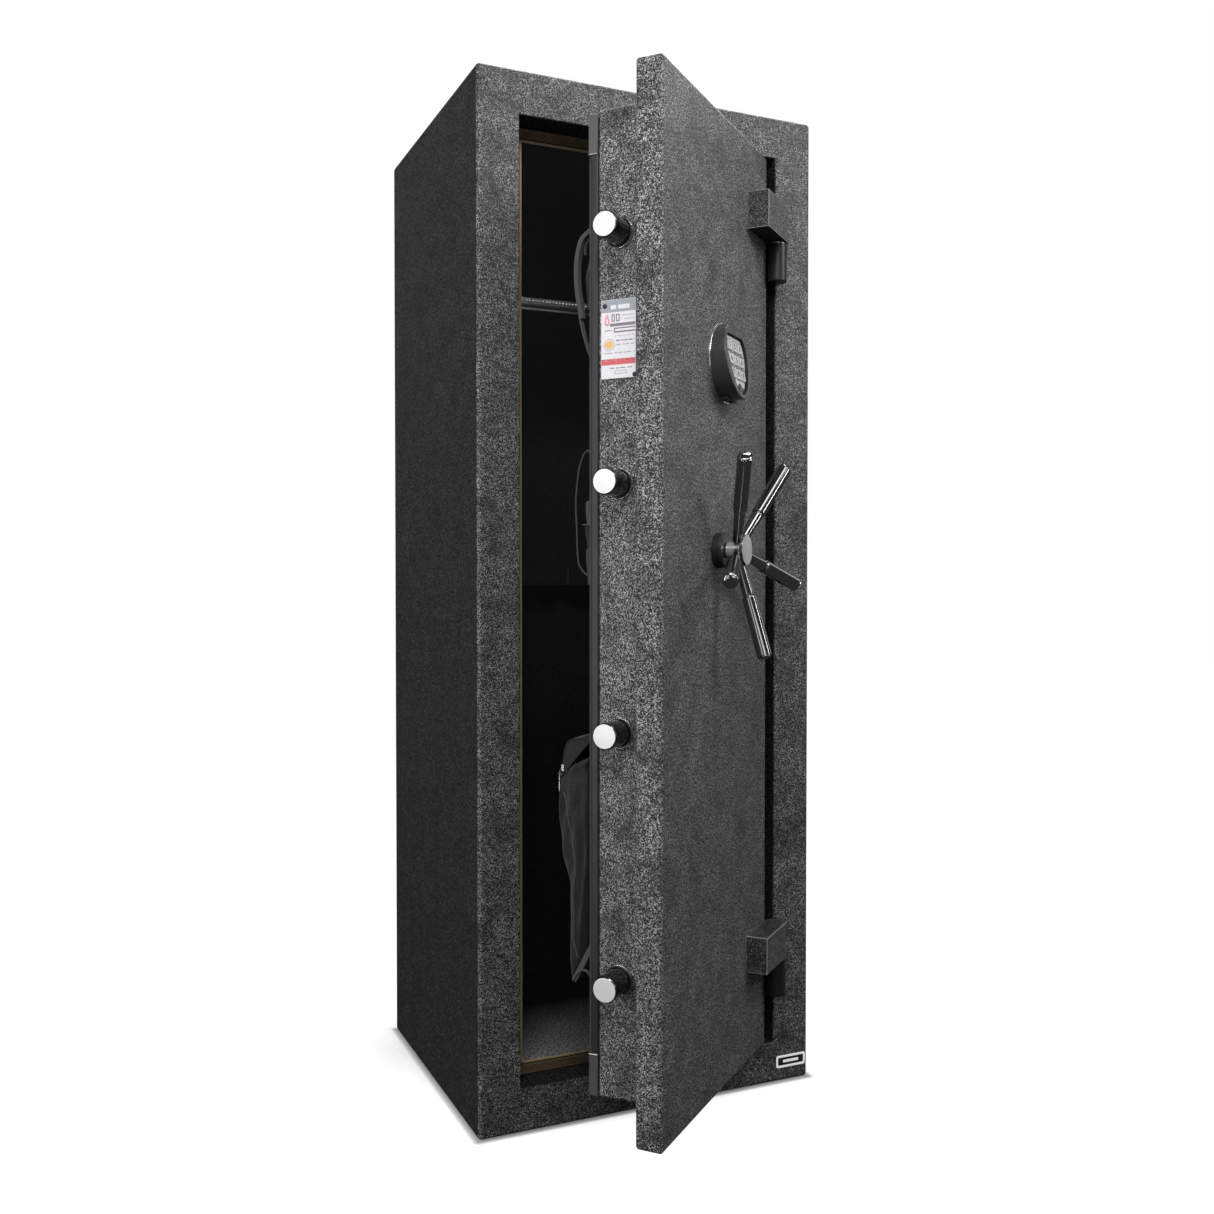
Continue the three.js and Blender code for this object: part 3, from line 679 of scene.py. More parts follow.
def build_cabinet():
    """The folded shell with its front frame: rings of corners from the back, round the front
    edge and through the mouth to the inside of the back."""
    low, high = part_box("body_shell")
    jamb_low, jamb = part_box("door_jamb")
    bm = bmesh.new()
    outer = frame_ring(bm, high.x, low.z, high.z, low.y)
    back = frame_ring(bm, high.x, low.z, high.z, high.y)
    mouth_size = (jamb.x - SHEET, jamb_low.z + SHEET, jamb.z - SHEET)
    mouth = frame_ring(bm, *mouth_size, low.y)
    mouth_back = frame_ring(bm, *mouth_size, low.y + SHEET)
    inner_size = (high.x - SHEET, low.z + SHEET, high.z - SHEET)
    inner = frame_ring(bm, *inner_size, low.y + SHEET)
    inner_back = frame_ring(bm, *inner_size, high.y - SHEET)
    chain = [back, outer, mouth, mouth_back, inner, inner_back]
    for a, b in zip(chain, chain[1:]):
        bridge(bm, a, b)
    bm.faces.new(back)
    bm.faces.new(inner_back)
    weight = bm.edges.layers.float.new("bevel_weight_edge")
    outside = set(outer) | set(back)
    for edge in bm.edges:
        ends = set(edge.verts)
        if ends <= outside:
            edge[weight] = 1.0
        elif ends <= set(mouth):
            edge[weight] = 0.4
    cabinet = make("cabinet_shell", bm, [DULL_SHADED_COAT, STRONG])
    modify(cabinet, "edges", "BEVEL", width=6 * MM, segments=5, limit_method="WEIGHT")
    settle(cabinet)
    carve(cabinet, *anchor_holes())
    depth = FRONT + 4 * MM
    # Front faces take the strong crinkle and all others the darker dull copy of it: painted shade on the
    # sides, top and back.
    by_facing(cabinet, lambda n, c: n.y < -0.35 or c.y < depth and abs(c.x) < jamb.x, 1)
    weighted(cabinet)
    enter(cabinet, "cabinet", ["body_shell"])


def build_seal_bead():
    """The soft bulb along the inner edge of the heat seal."""
    low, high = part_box("door_jamb")
    reach = SHEET + 16.9 * MM
    loop = rounded_rectangle(low.x + reach, high.x - reach, low.z + reach, high.z - reach, 3 * MM)
    path = [(x, high.y - SHEET, z) for x, z in dense(loop, 40 * MM)]
    add("seal_bead", swept(path, circle(1.9 * MM, 10), Y_AXIS, closed=True), SEAL_BULB,
        "cabinet", place=ROW, angle=None)


def build_badge():
    low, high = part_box("badge_plate")
    outline = rounded_rectangle(low.x, high.x, low.z, high.z, 2 * MM)
    badge = make("badge", plate(outline, low.y + 0.4 * MM, high.y), [INK])
    round_edges(badge, 0.3 * MM, 2)
    weighted(badge)
    enter(badge, "cabinet", ["badge_plate"])
    middle = (low + high) / 2
    rim = [(x, low.y + 0.3 * MM, z) for x, z in rounded_rectangle(
        low.x + 1.9 * MM, high.x - 1.9 * MM, low.z + 1.9 * MM, high.z - 1.9 * MM, 2 * MM)]
    border = swept(rim, tape(0.7 * MM, 3.4 * MM), Y_AXIS, closed=True)
    bar = soft_block((middle.x - 13 * MM, low.y, middle.z - 2.0 * MM),
                     (middle.x + 13 * MM, low.y + 0.6 * MM, middle.z + 2.0 * MM), 0.25 * MM, 2)
    add("badge_border", merged([border, bar]), GLOWING_BADGE_WHITE, "cabinet", place=ROW,
        angle=None)


def build_shelf_edge():
    """The beaded strip along the shelf's metal edge, with a flat black strip as painted shade in its
    groove.
    """
    low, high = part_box("shelf_trim")
    pitch = 5.2 * MM
    count = int((high.x - low.x - 8 * MM) / pitch)
    beads = []
    for i in range(count):
        x = (i - (count - 1) / 2) * pitch
        bead = turned(mm([(0, -0.2), (2.2, -0.2), (1.7, 0.9), (0, 1.3)]), 8)
        beads.append(shifted(bead, aimed((x, low.y, high.z - 4.6 * MM), (0, -1, 0))))
    add("shelf_beads", merged(beads), EDGE_METAL, "cabinet", place=ROW, angle=None)
    lip = [(x, low.y - 0.4 * MM, low.z + 1.6 * MM) for x in (low.x + MM, high.x - MM)]
    add("shelf_lip", swept(lip, circle(1.5 * MM, 12), Y_AXIS), EDGE_METAL, "cabinet",
        place=ROW)
    # Painted shade: a flat black strip laid where the groove's shade falls.
    dark = soft_block((low.x + MM, low.y - 0.25 * MM, low.z + 4.5 * MM),
                      (high.x - MM, low.y + 0.3 * MM, high.z - 8.4 * MM), 0.2 * MM, 2)
    add("shelf_groove_painted_shade", dark, INK, "cabinet", place=ROW, angle=None)


# ---- hinges -------------------------------------------------------------------------------
# ---- door ---------------------------------------------------------------------------------
def build_hinge_arm(side):
    """The block on the door's face, with a round end over the hinge pin."""
    low, high = local_box(f"hinge_block_{side}")
    axis_y = FRONT - HINGE.y
    outline = [(low.x, high.y), (low.x, low.y)]
    steps = 20
    for k in range(steps + 1):
        a = -math.pi / 2 + math.pi * k / steps
        outline.append((high.x * math.cos(a), -axis_y + high.x * math.sin(a)))
    arm = prism([[(x, y, z) for x, y in outline] for z in (low.z, high.z)])
    piece = make(f"hinge_arm_{side}", arm, [BLOCK_SHADED_SIDE, BLOCK_LIT_FACE, PALE_EDGE, DULL_SHADED_COAT], DOOR)
    carve(piece, shifted(drill(PIN_BORE, -1, PIN_DEPTH, 32), Matrix.Translation((0, -axis_y, low.z))))
    # The sides take the darker copy of the coat and the front the lighter one, as lit and shaded copies.
    # The underside takes the dull copy as painted shade under the block.
    by_facing(piece, lambda n, c: n.y < -0.7, 1)
    by_facing(piece, lambda n, c: n.z < -0.7, 3)
    round_edges(piece, 0.7 * MM, 2)
    # The rounded edges take the pale grey paint.
    piece.modifiers["edges"].material = 2
    settle(piece)
    weighted(piece)
    enter(piece, "door", [f"hinge_block_{side}"])


def build_hinge_stand(side):
    """The round post under the block, with the pad that joins it to the cabinet."""
    low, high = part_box(f"hinge_post_{side}")
    radius = HINGE.y - low.y
    bore = PIN_BORE * MM
    socket = high.z - PIN_DEPTH * MM
    post = turned(fillet([(0, low.z), (radius, low.z), (radius, high.z), (bore, high.z),
                          (bore, socket), (0, socket)], mm([0, 1.6, 1.2, 0, 0, 0])), 40)
    shifted(post, Matrix.Translation(HINGE))
    pad = soft_block((HINGE.x + 2 * MM, HINGE.y - 3 * MM, low.z + MM),
                     (HINGE.x + radius - 0.5 * MM, FRONT - 0.3 * MM, high.z - MM), MM, 2)
    # The post and pad take the near-black paint: partly painted shade under the block.
    add(f"hinge_stand_{side}", merged([post, pad]), POST_SHADE_PAINT, "cabinet",
        [f"hinge_post_{side}"], place=ROW)


def grown(box, by):
    step = Vector((by, by, by))
    return box[0] - step, box[1] + step


def build_slab():
    """The thick door plate, with room for its fire board, the bolt work and the spindle."""
    low, high = local_box("door_shell")
    bm = soft_block(low, high, 4 * MM, 4)
    slab = make("door_slab", bm, [COARSE, FINE], DOOR)
    box_low, box_high = local_box("bolt_box")
    inset = 8 * MM
    window = block((box_low.x + inset, 20 * MM, box_low.z + inset),
                   (box_high.x - inset, high.y + MM, box_high.z - inset))
    hub_low, hub_high = local_box("handle_base")
    centre = (hub_low + hub_high) / 2
    spindle = shifted(drill(7.3, -5, 30, 32), aimed((centre.x, 0, centre.z), (0, 1, 0)))
    carve(slab, block(*grown(local_box("door_fire_board"), 0.3 * MM)), window, spindle)
    # The outer face takes its own, lighter copy of the coat, and the edges and back a darker one:
    # brightness painted in for how light falls on each.
    by_facing(slab, lambda n, c: n.y < -0.6, 1)
    weighted(slab)
    enter(slab, "door", ["door_shell"])


def build_bolt_box(bolts):
    """The folded case round the bolt work, open to the slab and with a hatch in its back."""
    low, high = local_box("bolt_box")
    rim = 14 * MM
    case = make("bolt_case", soft_block(low, high, 3 * MM, 4), [COARSE], DOOR)
    hatch = block((low.x + rim, high.y - 5 * MM, low.z + rim),
                  (high.x - rim, high.y + MM, high.z - rim))
    holes = [shifted(drill(BOLT_BORE, -4, 8, 40), aimed((low.x, bolt.y, bolt.z), (1, 0, 0)))
             for bolt in bolts]
    carve(case, hollow(low, high, 2.5 * MM), hatch, *holes)
    weighted(case)
    enter(case, "door", ["bolt_box"])


def build_cover():
    low, high = local_box("door_cover")
    cover = make("door_back_cover", soft_block(low, high, 3 * MM, 4), [COVER_PAINT], DOOR)
    carve(cover, hollow(low, high, 2 * MM))
    weighted(cover)
    enter(cover, "door", ["door_cover"])
    build_cover_cap("upper", high.z - 48 * MM, high.z + 1.2 * MM, low, high)
    build_cover_cap("lower", low.z - 4.4 * MM, low.z + 47.5 * MM, low, high)


def build_cover_cap(side, z0, z1, low, high):
    """A folded corner piece that laps the cover's free edge and is screwed to its back."""
    proud = 1.3 * MM
    gap = 0.15 * MM
    cap = make(f"cover_cap_{side}", soft_block(
        (low.x - proud, low.y + 0.6 * MM, z0), (low.x + 44 * MM, high.y + proud, z1),
        0.9 * MM, 3), [CAP_PAINT], DOOR)
    carve(cap, block((low.x - gap, low.y - MM, z0 - MM),
                     (low.x + 50 * MM, high.y + gap, z1 + MM)))
    weighted(cap)
    enter(cap, "door")
    hem = z0 + 0.9 * MM if side == "upper" else z1 - 0.9 * MM
    path = fillet([(low.y + 1.2 * MM, low.x - proud), (high.y + proud, low.x - proud),
                   (high.y + proud, low.x + 42 * MM)], 1.2 * MM)
    add(f"cover_cap_hem_{side}",
        swept([(x, y, hem) for y, x in path], circle(0.9 * MM, 8), Z_AXIS), EDGE_METAL,
        "door")
    middle = (z0 + z1) / 2
    for z in (middle - 12 * MM, middle + 12 * MM):
        build_screw(f"cap_screw_{side}_{int(z / MM)}", (low.x + 7 * MM, high.y + proud, z))


def build_screw(name, where, radius=3.2 * MM):
    """A cross-head screw facing +y in the door's frame."""
    head = turned(fillet([(0, -0.5 * MM), (radius, -0.5 * MM), (radius, 0.8 * MM),
                          (radius * 0.6, 1.9 * MM), (0, 2.2 * MM)], [0, 0, MM, MM, 0]), 24)
    place = aimed(where, (0, 1, 0))
    screw = make(name, shifted(head, place), [BRIGHT], DOOR)
    slots = [shifted(block((-a, -b, 1.0 * MM), (a, b, 3 * MM)), place)
             for a, b in ((0.45 * MM, 1.9 * MM), (1.9 * MM, 0.45 * MM))]
    carve(screw, *slots)
    weighted(screw)
    enter(screw, "door")


def bolt_centre(k):
    low, high = local_box(f"locking_bolt_{k}")
    return (low + high) / 2


def build_bolt(k):
    """A round bolt with turned marks on its end."""
    low, high = local_box(f"locking_bolt_{k}")
    radius = (high.z - low.z) / 2
    length = high.x - low.x
    centre = bolt_centre(k)
    place = DOOR @ aimed((low.x, centre.y, centre.z), (1, 0, 0))
    profile = fillet([(0, 0), (radius - 1.5 * MM, 0.25 * MM), (radius, 1.5 * MM),
                      (radius, length), (0, length)], mm([0, 0.4, 0.4, 0.3, 0]))
    bolt = make(f"round_bolt_{k}", turned(profile, 64), [BOLT_SIDE, BOLT_END], place)
    # The flat end takes the near-white end look: partly painted reflection.
    by_facing(bolt, lambda n, c: n.z < -0.9, 1)
    weighted(bolt, 30)
    enter(bolt, "bolt_carriage", [f"locking_bolt_{k}"])


# ---- rating plate -------------------------------------------------------------------------
def build_rating_plate():
    """A riveted plate with plain printed bands and marks, without any lettering."""
    low, high = local_box("rating_plate")
    looks = [WHITE_PRINT, SLATE_PRINT, GREY_PRINT, PALE_PRINT, RED_PRINT, PINK_PRINT, GOLD_PRINT]
    white, slate, dark, pale, red, pink, gold = range(7)
    width, height = high.y - low.y, high.z - low.z
    base = soft_block(low, high, 0.35 * MM, 2)
    parts = [(base, white)]

    def mark(outline, index, layer=1):
        """An outline in millimetres from the plate's lower left corner, as seen from outside."""
        bm = bmesh.new()
        x = low.x - 0.04 * MM * layer
        bm.faces.new([bm.verts.new((x, high.y - u * MM, low.z + v * MM)) for u, v in outline])
        parts.append((bm, index))

    def bar(u0, u1, v0, v1, index, layer=1):
        mark([(u0, v0), (u1, v0), (u1, v1), (u0, v1)], index, layer)

    def dashes(u0, u1, v, thick, index, pattern):
        u, k = u0, 0
        while u < u1:
            step = pattern[k % len(pattern)]
            bar(u, min(u + step * 0.72, u1), v - thick / 2, v + thick / 2, index)
            u += step
            k += 1

    def disc(u, v, radius, index, layer=1, sides=28):
        mark([(u + radius * math.cos(TAU * k / sides), v + radius * math.sin(TAU * k / sides))
              for k in range(sides)], index, layer)

    w, h = width / MM, height / MM
    bar(0.5, w - 0.5, h - 15, h - 0.5, slate)
    bar(13, 20, h - 11.5, h - 6.5, white, 2)
    bar(22.5, 38, h - 11.5, h - 6.5, white, 2)
    mark([(4, 67), (6, 74), (8, 78), (10, 74), (12, 67), (10, 64.5), (6, 64.5)], pink)
    mark([(6.4, 67.4), (8, 73.6), (9.6, 67.4), (8, 65.8)], white, 2)
    bar(14, 18.2, 68, 77, dark)
    bar(15.4, 16.8, 69.4, 75.6, white, 2)
    bar(19.8, 24.8, 68, 77, dark)
    bar(21.2, 23.4, 69.4, 75.6, white, 2)
    dashes(28, 44, 75, 1.3, pale, (2.5, 4, 3))
    dashes(31, 44, 70.5, 1.0, pale, (3, 2, 4))
    bar(12, w - 1, 62.4, 66.0, dark)
    dashes(5.5, 11.5, 64.2, 1.0, dark, (2, 2.6))
    bar(17, w - 1, 54.8, 60.8, dark)
    bar(18.6, w - 1, 56.6, 59.2, white, 2)
    dashes(5.5, 14, 57.8, 1.4, dark, (2.8, 1.9))
    dashes(18, 43, 51.0, 0.9, pale, (4, 6, 3))
    disc(10.8, 40.6, 7.4, pale)
    disc(10.8, 40.6, 6.4, white, 2)
    disc(10.8, 40.6, 5.2, gold, 3)
    dashes(20, 44, 45.2, 1.5, dark, (6, 3.4, 2.6, 5))
    dashes(20, 44, 40.4, 1.4, pale, (9, 4, 6))
    dashes(5, 44, 30.6, 1.6, pale, (3, 10, 5, 7))
    bar(0.5, w - 0.5, 16.4, 23.6, red)
    dashes(5, 44, 22.0, 0.9, white, (7, 5))
    dashes(12, 42, 12.4, 1.1, dark, (8, 5, 10))
    bar(18, 34, 5.4, 9.6, pale)
    bar(19, 33, 6.4, 8.6, white, 2)

    add("rating_label", merged_with_index(parts), looks, "door", ["rating_plate"],
        angle=None, smooth=False)
    for name, y, z in (("upper", high.y - 5 * MM, high.z - 7 * MM),
                       ("lower", low.y + 1.6 * MM, low.z + 3.4 * MM)):
        rivet = turned([(0, -0.6 * MM), (2.9 * MM, -0.6 * MM), (2.9 * MM, 0.3 * MM),
                        (2.2 * MM, 1.2 * MM), (1.0 * MM, 1.6 * MM), (0, 1.65 * MM)], 24)
        add(f"plate_rivet_{name}", rivet, PLASTIC, "door",
            place=DOOR @ aimed((low.x, y, z), (-1, 0, 0)), angle=60)


def merged_with_index(parts):
    """One bmesh from (bmesh, material index) pairs."""
    for bm, index in parts:
        for face in bm.faces:
            face.material_index = index
    return merged([bm for bm, index in parts])


# ---- handle -------------------------------------------------------------------------------


def build_bolt_collar(k):
    """The black bush that the bolt slides in, with a thin bright metal ring round its shoulder that
    stands in for the highlight on its rounded rim: a painted highlight.
    """
    low, high = local_box(f"bolt_collar_{k}")
    outer = (high.z - low.z) / 2
    deep = high.x - low.x
    shoulder = deep * 0.55
    bore = BOLT_BORE * MM
    centre = bolt_centre(k)
    place = DOOR @ aimed((high.x, centre.y, centre.z), (-1, 0, 0))
    ring = fillet([(bore, 0), (outer, 0), (outer, shoulder), (bore + MM, deep), (bore, deep)],
                  mm([0, 0, 1, 0.6, 0.3]), 4, closed=True)
    add(f"bolt_bush_{k}", turned(ring, 64), PLASTIC, "door", [f"bolt_collar_{k}"],
        place=place)
    # Painted highlight: a bright metal ring where the rounded shoulder catches the light.
    rim_highlight = [(outer - 0.2 * MM + u, shoulder + v) for u, v in circle(0.4 * MM, 8)]
    add(f"bolt_rim_highlight_{k}", turned(rim_highlight, 64), BRIGHT, "door", place=place, angle=None)


def build_handle_boss():
    """The fixed black base of the handle."""
    low, high = local_box("handle_base")
    centre = (low + high) / 2
    radius = (high.x - low.x) / 2
    lip = radius - 0.5 * MM
    deep = high.y - low.y
    bore = 7.6 * MM
    profile = fillet([(bore, 0), (radius, 0), (radius, deep * 0.72), (lip, deep * 0.75),
                      (lip, deep), (bore, deep)], mm([0, 0.6, 0.4, 0.3, 1.6, 0.5]), 4, closed=True)
    place = DOOR @ aimed((centre.x, high.y, centre.z), (0, -1, 0))
    base = make("handle_boss", turned(profile, 64), [DULL_PLASTIC, PLASTIC], place)
    by_facing(base, lambda n, c: c.z > deep * 0.75, 1)
    weighted(base)
    enter(base, "door", ["handle_base"])
    return centre, deep


def build_handle_hub(centre, deep):
    """The spindle, its bright sleeve and the brushed disc that the spokes leave from."""
    low, high = local_box("handle_hub")
    hub_radius = (high.x - low.x) / 2
    front = -low.y
    back = front - 4.4 * MM
    spindle = 7 * MM
    sleeve = 10.5 * MM
    foot = deep + 1.2 * MM
    profile = fillet(
        [(0, -high.y), (spindle, -high.y), (spindle, foot), (sleeve, foot), (sleeve, back),
         (hub_radius, back), (hub_radius, front), (0, front)],
        mm([0, 0.6, 0.3, 1.0, 1.0, 0.5, 0.8, 0]))
    place = DOOR @ aimed((centre.x, 0, centre.z), (0, -1, 0))
    hub = make("handle_boss_cap", turned(profile, 64), [DARK_CHROME, HUB_FACE, SLEEVE], place)
    by_facing(hub, lambda n, c: n.z > 0.9 and c.z > front - 0.5 * MM, 1)
    by_facing(hub, lambda n, c: deep < c.z < back and c.xy.length > 0.98 * sleeve, 2)
    weighted(hub, 30)
    enter(hub, "handle", ["handle_hub"])


def build_handle():
    build_handle_hub(*build_handle_boss())
    for k in range(1, 6):
        build_spoke(k)


def build_spoke(k):
    """A rod with two collars and a thicker grip that ends in a low dome."""
    node = f"handle_spoke_{k}"
    root, tip = sorted(long_axis(node), key=lambda p: (p - Vector(TURN["pos_m"])).length)
    length = (tip - root).length
    step = length * 0.40
    rod, collar, grip = mm([5.7, 6.9, 9.7])
    neck, groove, dome = grip - 0.8 * MM, grip - 0.9 * MM, grip - 0.2 * MM
    rise = 3 * MM
    points = [(0, 0), (4 * MM, 0), (4 * MM, 3.4 * MM), (rod, 5.4 * MM), (rod + 1.8 * MM, step - rise),
              (collar, step - 2 * MM), (collar, step - 0.6 * MM), (neck, step),
              (grip, length - 4.6 * MM), (groove, length - 3.9 * MM), (groove, length - 3.4 * MM),
              (dome, length - rise)]
    profile = fillet(points, mm([0, 0.4, 0, 1, 0.4, 0.4, 0.4, 1.2, 0.5, 0.3, 0.3, 0]))
    for i in range(1, 8):
        a = math.pi / 2 * i / 7
        profile.append((dome * math.cos(a), length - rise + rise * math.sin(a)))
    profile[-1] = (0, length)
    add(f"spoke_{k}", turned(profile, 48), DARK_CHROME, "handle", [node],
        place=aimed(root, tip - root), angle=45)


# ---- keypad lock --------------------------------------------------------------------------
HOUSING = local_box("keypad_housing")
PAD_TILT = math.asin(-PRESS["axis"][2])
PAD_HALF = (HOUSING[1] - HOUSING[0]) / 2
PAD_CENTRE = (HOUSING[0] + HOUSING[1]) / 2
PAD_DEPTH = -HOUSING[0].y - PAD_HALF.z * math.tan(PAD_TILT)
RECESS = 3.6 * MM
# The keypad's sloping face: x to the right, z up the face, -y out of it, y = 0 on the face.
PAD = (
    Matrix.Translation((PAD_CENTRE.x, -PAD_DEPTH, PAD_CENTRE.z))
    @ Matrix.Rotation(-PAD_TILT, 4, "X")
)


def shield(inset=0.0):
    """Outline of the sunken key panel: wide at the top and round at the foot."""
    points = [(-36, 14)]
    for control, end in (((-34, 28), (-26, 33)), ((0, 33), (26, 33)), ((34, 28), (36, 14)),
                         ((36, -10), (20, -33)), ((0, -53), (-20, -33)), ((-36, -10), (-36, 14))):
        points += quadratic(points[-1], control, end)
    shrink = (1 - inset / (34 * MM)) * MM
    return [(x * shrink, z * shrink) for x, z in points[:-1]]


KEYS = [f"key_{k}" for k in range(1, 10)] + ["key_enter"]


def key_outline(node, low, high, gap=0.0):
    if node == "key_enter":
        middle = (low + high) / 2
        return [(middle.x + u, middle.z + v) for u, v in circle((high.x - low.x) / 2 + gap, 32)]
    return rounded_rectangle(low.x - gap, high.x + gap, low.z - gap, high.z + gap, 2.2 * MM + gap)


def key_wells(nodes=KEYS):
    """The openings that the keys sink into when they are pressed."""
    wells = []
    for node in nodes:
        low, high = local_box(node, DOOR @ PAD)
        outline = key_outline(node, low, high, 0.3 * MM)
        wells.append(shifted(plate(outline, low.y - 2 * MM, high.y + 1.5 * MM), PAD))
    return wells


def keypad_form():
    """The oval case: straight sides, then a rounded edge up to its sloping face."""
    sides = 96
    rounding = 1.4 * MM
    rings = []
    for angle in [None] + [math.pi / 2 * i / 5 for i in range(6)]:
        ring = []
        for k in range(sides):
            a = TAU * k / sides
            inset = 0.0 if angle is None else rounding * (1 - math.cos(angle))
            x = (PAD_HALF.x - inset) * math.cos(a)
            z = (PAD_HALF.z - inset) * math.sin(a)
            depth = PAD_DEPTH - z * math.tan(PAD_TILT)
            y = 0.3 * MM if angle is None else depth - rounding * (1 - math.sin(angle))
            ring.append((PAD_CENTRE.x + x, -y, PAD_CENTRE.z + z))
        rings.append(ring)
    return prism(rings)


def build_keypad_case():
    case = make("keypad_case", keypad_form(), [CASE_PLASTIC, INK], DOOR)
    recess = shifted(plate(shield(-0.8 * MM), -10 * MM, RECESS + 2.4 * MM), PAD)
    bay_low, bay_high = grown(local_box("battery_drawer"), 0.4 * MM)
    bay_low.z -= 30 * MM
    carve(case, recess, block(bay_low, bay_high), *key_wells())
    # The walls and floor of the recess and of the key wells take black ink: painted shade in the recess
    # round the key panel.
    back = PAD.inverted()
    inside = lambda c: (back @ c).y > 0.15 * MM and math.hypot(
        (c.x - PAD_CENTRE.x) / PAD_HALF.x, (c.z - PAD_CENTRE.z) / PAD_HALF.z) < 0.93
    by_facing(case, lambda n, c: inside(c), 1)
    weighted(case, 35)
    enter(case, "door", ["keypad_housing"])


def build_keypad_trim():
    """The bright ring between the case and the door."""
    rim = PAD_HALF.x + 1.3 * MM
    inner = rim - 5.3 * MM
    base = fillet([(inner, 0), (rim, 0), (rim, 1.6 * MM), (inner, 1.6 * MM)],
                  mm([0, 0.3, 0.7, 0]), 3, closed=True)
    place = DOOR @ aimed((PAD_CENTRE.x, 0, PAD_CENTRE.z), (0, -1, 0))
    up = (place.inverted() @ DOOR).to_3x3() @ Z_AXIS
    scale = Matrix.Scale((PAD_HALF.z + 1.3 * MM) / rim, 4, up)
    add("keypad_trim", shifted(turned(base, 96), scale), BRIGHT, "door", place=place)


def build_key_panel():
    """The pale panel round the keys, its two printed lines and its grey foot."""
    film = shifted(plate(shield(1.2 * MM), RECESS, RECESS + 2.2 * MM), PAD)
    panel = make("key_panel", film, [KEY_FILM, PLATE_GREY], DOOR)
    round_edges(panel, 0.25 * MM, 2)
    carve(panel, *key_wells())
    weighted(panel)
    enter(panel, "door")
    lines = [swept([(x, RECESS - 0.05 * MM, z) for x in (-half, half)],
                   tape(0.9 * MM, 0.3 * MM), Z_AXIS) for z, half in mm([(10.5, 34), (-7.5, 30)])]
    add("key_row_lines", shifted(merged(lines), PAD), INK, "door", angle=None)
    foot = [(x, z) for x, z in shield(0.6 * MM) if z < -25.5 * MM]
    foot = shifted(plate(foot, RECESS - 0.25 * MM, RECESS + 0.5 * MM), PAD)
    lower = make("key_panel_foot", foot, [PLATE_GREY], DOOR)
    carve(lower, *key_wells(["key_enter"]))
    enter(lower, "door")


def build_keypad():
    build_keypad_case()
    build_keypad_trim()
    build_key_panel()
    for k, node in enumerate(KEYS, 1):
        build_key(node)
        build_digit(node, str(k % 10))
    build_battery_drawer()


def build_key(node):
    """A raised key with a dark outline."""
    low, high = local_box(node, DOOR @ PAD)
    bm = plate(key_outline(node, low, high), low.y, high.y)
    top = min(bm.faces, key=lambda f: f.calc_center_median().y)
    for thickness, depth, index in ((0.35 * MM, 0.25 * MM, 0), (0.8 * MM, 0, 1), (0.1 * MM, 0, 0)):
        made = bmesh.ops.inset_individual(bm, faces=[top], thickness=thickness)
        if depth:
            for v in top.verts:
                v.co.y -= depth
        for face in made["faces"]:
            face.material_index = index
    if node == "key_enter":
        for face in bm.faces:
            face.material_index = 1 if face is not top else 2
    add(f"cap_{node}", shifted(bm, PAD), [KEY_FILM, INK, PLATE_GREY], node, [node])


def build_digit(node, digit):
    """A plain raised digit in the middle of a key."""
    low, high = local_box(node, DOOR @ PAD)
    centre = (low + high) / 2
    text = bpy.data.curves.new(f"digit_{digit}", "FONT")
    text.body = digit
    text.size = (10 if node != "key_enter" else 7) * MM
    text.extrude = 0.12 * MM
    text.offset = 0.18 * MM
    text.align_x = "CENTER"
    text.align_y = "CENTER"
    text.materials.append(INK)
    source = bpy.data.objects.new("digit_source", text)
    scene.collection.objects.link(source)
    bpy.context.view_layer.update()
    mesh = bpy.data.meshes.new_from_object(source.evaluated_get(
        bpy.context.evaluated_depsgraph_get()))
    bpy.data.objects.remove(source)
    obj = bpy.data.objects.new(f"digit_{digit}", mesh)
    upright = Matrix.Rotation(math.pi / 2, 4, "X")
    obj.matrix_world = DOOR @ PAD @ Matrix.Translation(
        (centre.x, low.y - 0.28 * MM, centre.z)) @ upright
    scene.collection.objects.link(obj)
    enter(obj, node)


def build_battery_drawer():
    low, high = local_box("battery_drawer")
    wall = 1.6 * MM
    tray = make("battery_tray", soft_block(low, high, 1.2 * MM, 3), [DULL_PLASTIC], DOOR)
    carve(tray, block((low.x + wall, low.y - MM, low.z + 4 * MM),
                      (high.x - wall, high.y - wall, high.z - wall)))
    weighted(tray)
    enter(tray, "battery_drawer", ["battery_drawer"])
    middle = (low.x + high.x) / 2
    catch = soft_block((middle - 9 * MM, high.y - 3.2 * MM, low.z - 1.8 * MM),
                       (middle + 9 * MM, high.y - 0.6 * MM, low.z + 0.6 * MM), 0.5 * MM, 2)
    add("drawer_catch", catch, BRIGHT, "battery_drawer")


# ---- door organizer -----------------------------------------------------------------------
SHEET_BOX = local_box("organizer_panel")
CLOTH_BACK = SHEET_BOX[0].y
CLOTH_FRONT = SHEET_BOX[1].y


def ripple(x, z, size, seed):
    """Smooth unevenness of hung cloth, between -1 and 1."""
    return noise.noise(Vector((x / size, seed, z / size)))


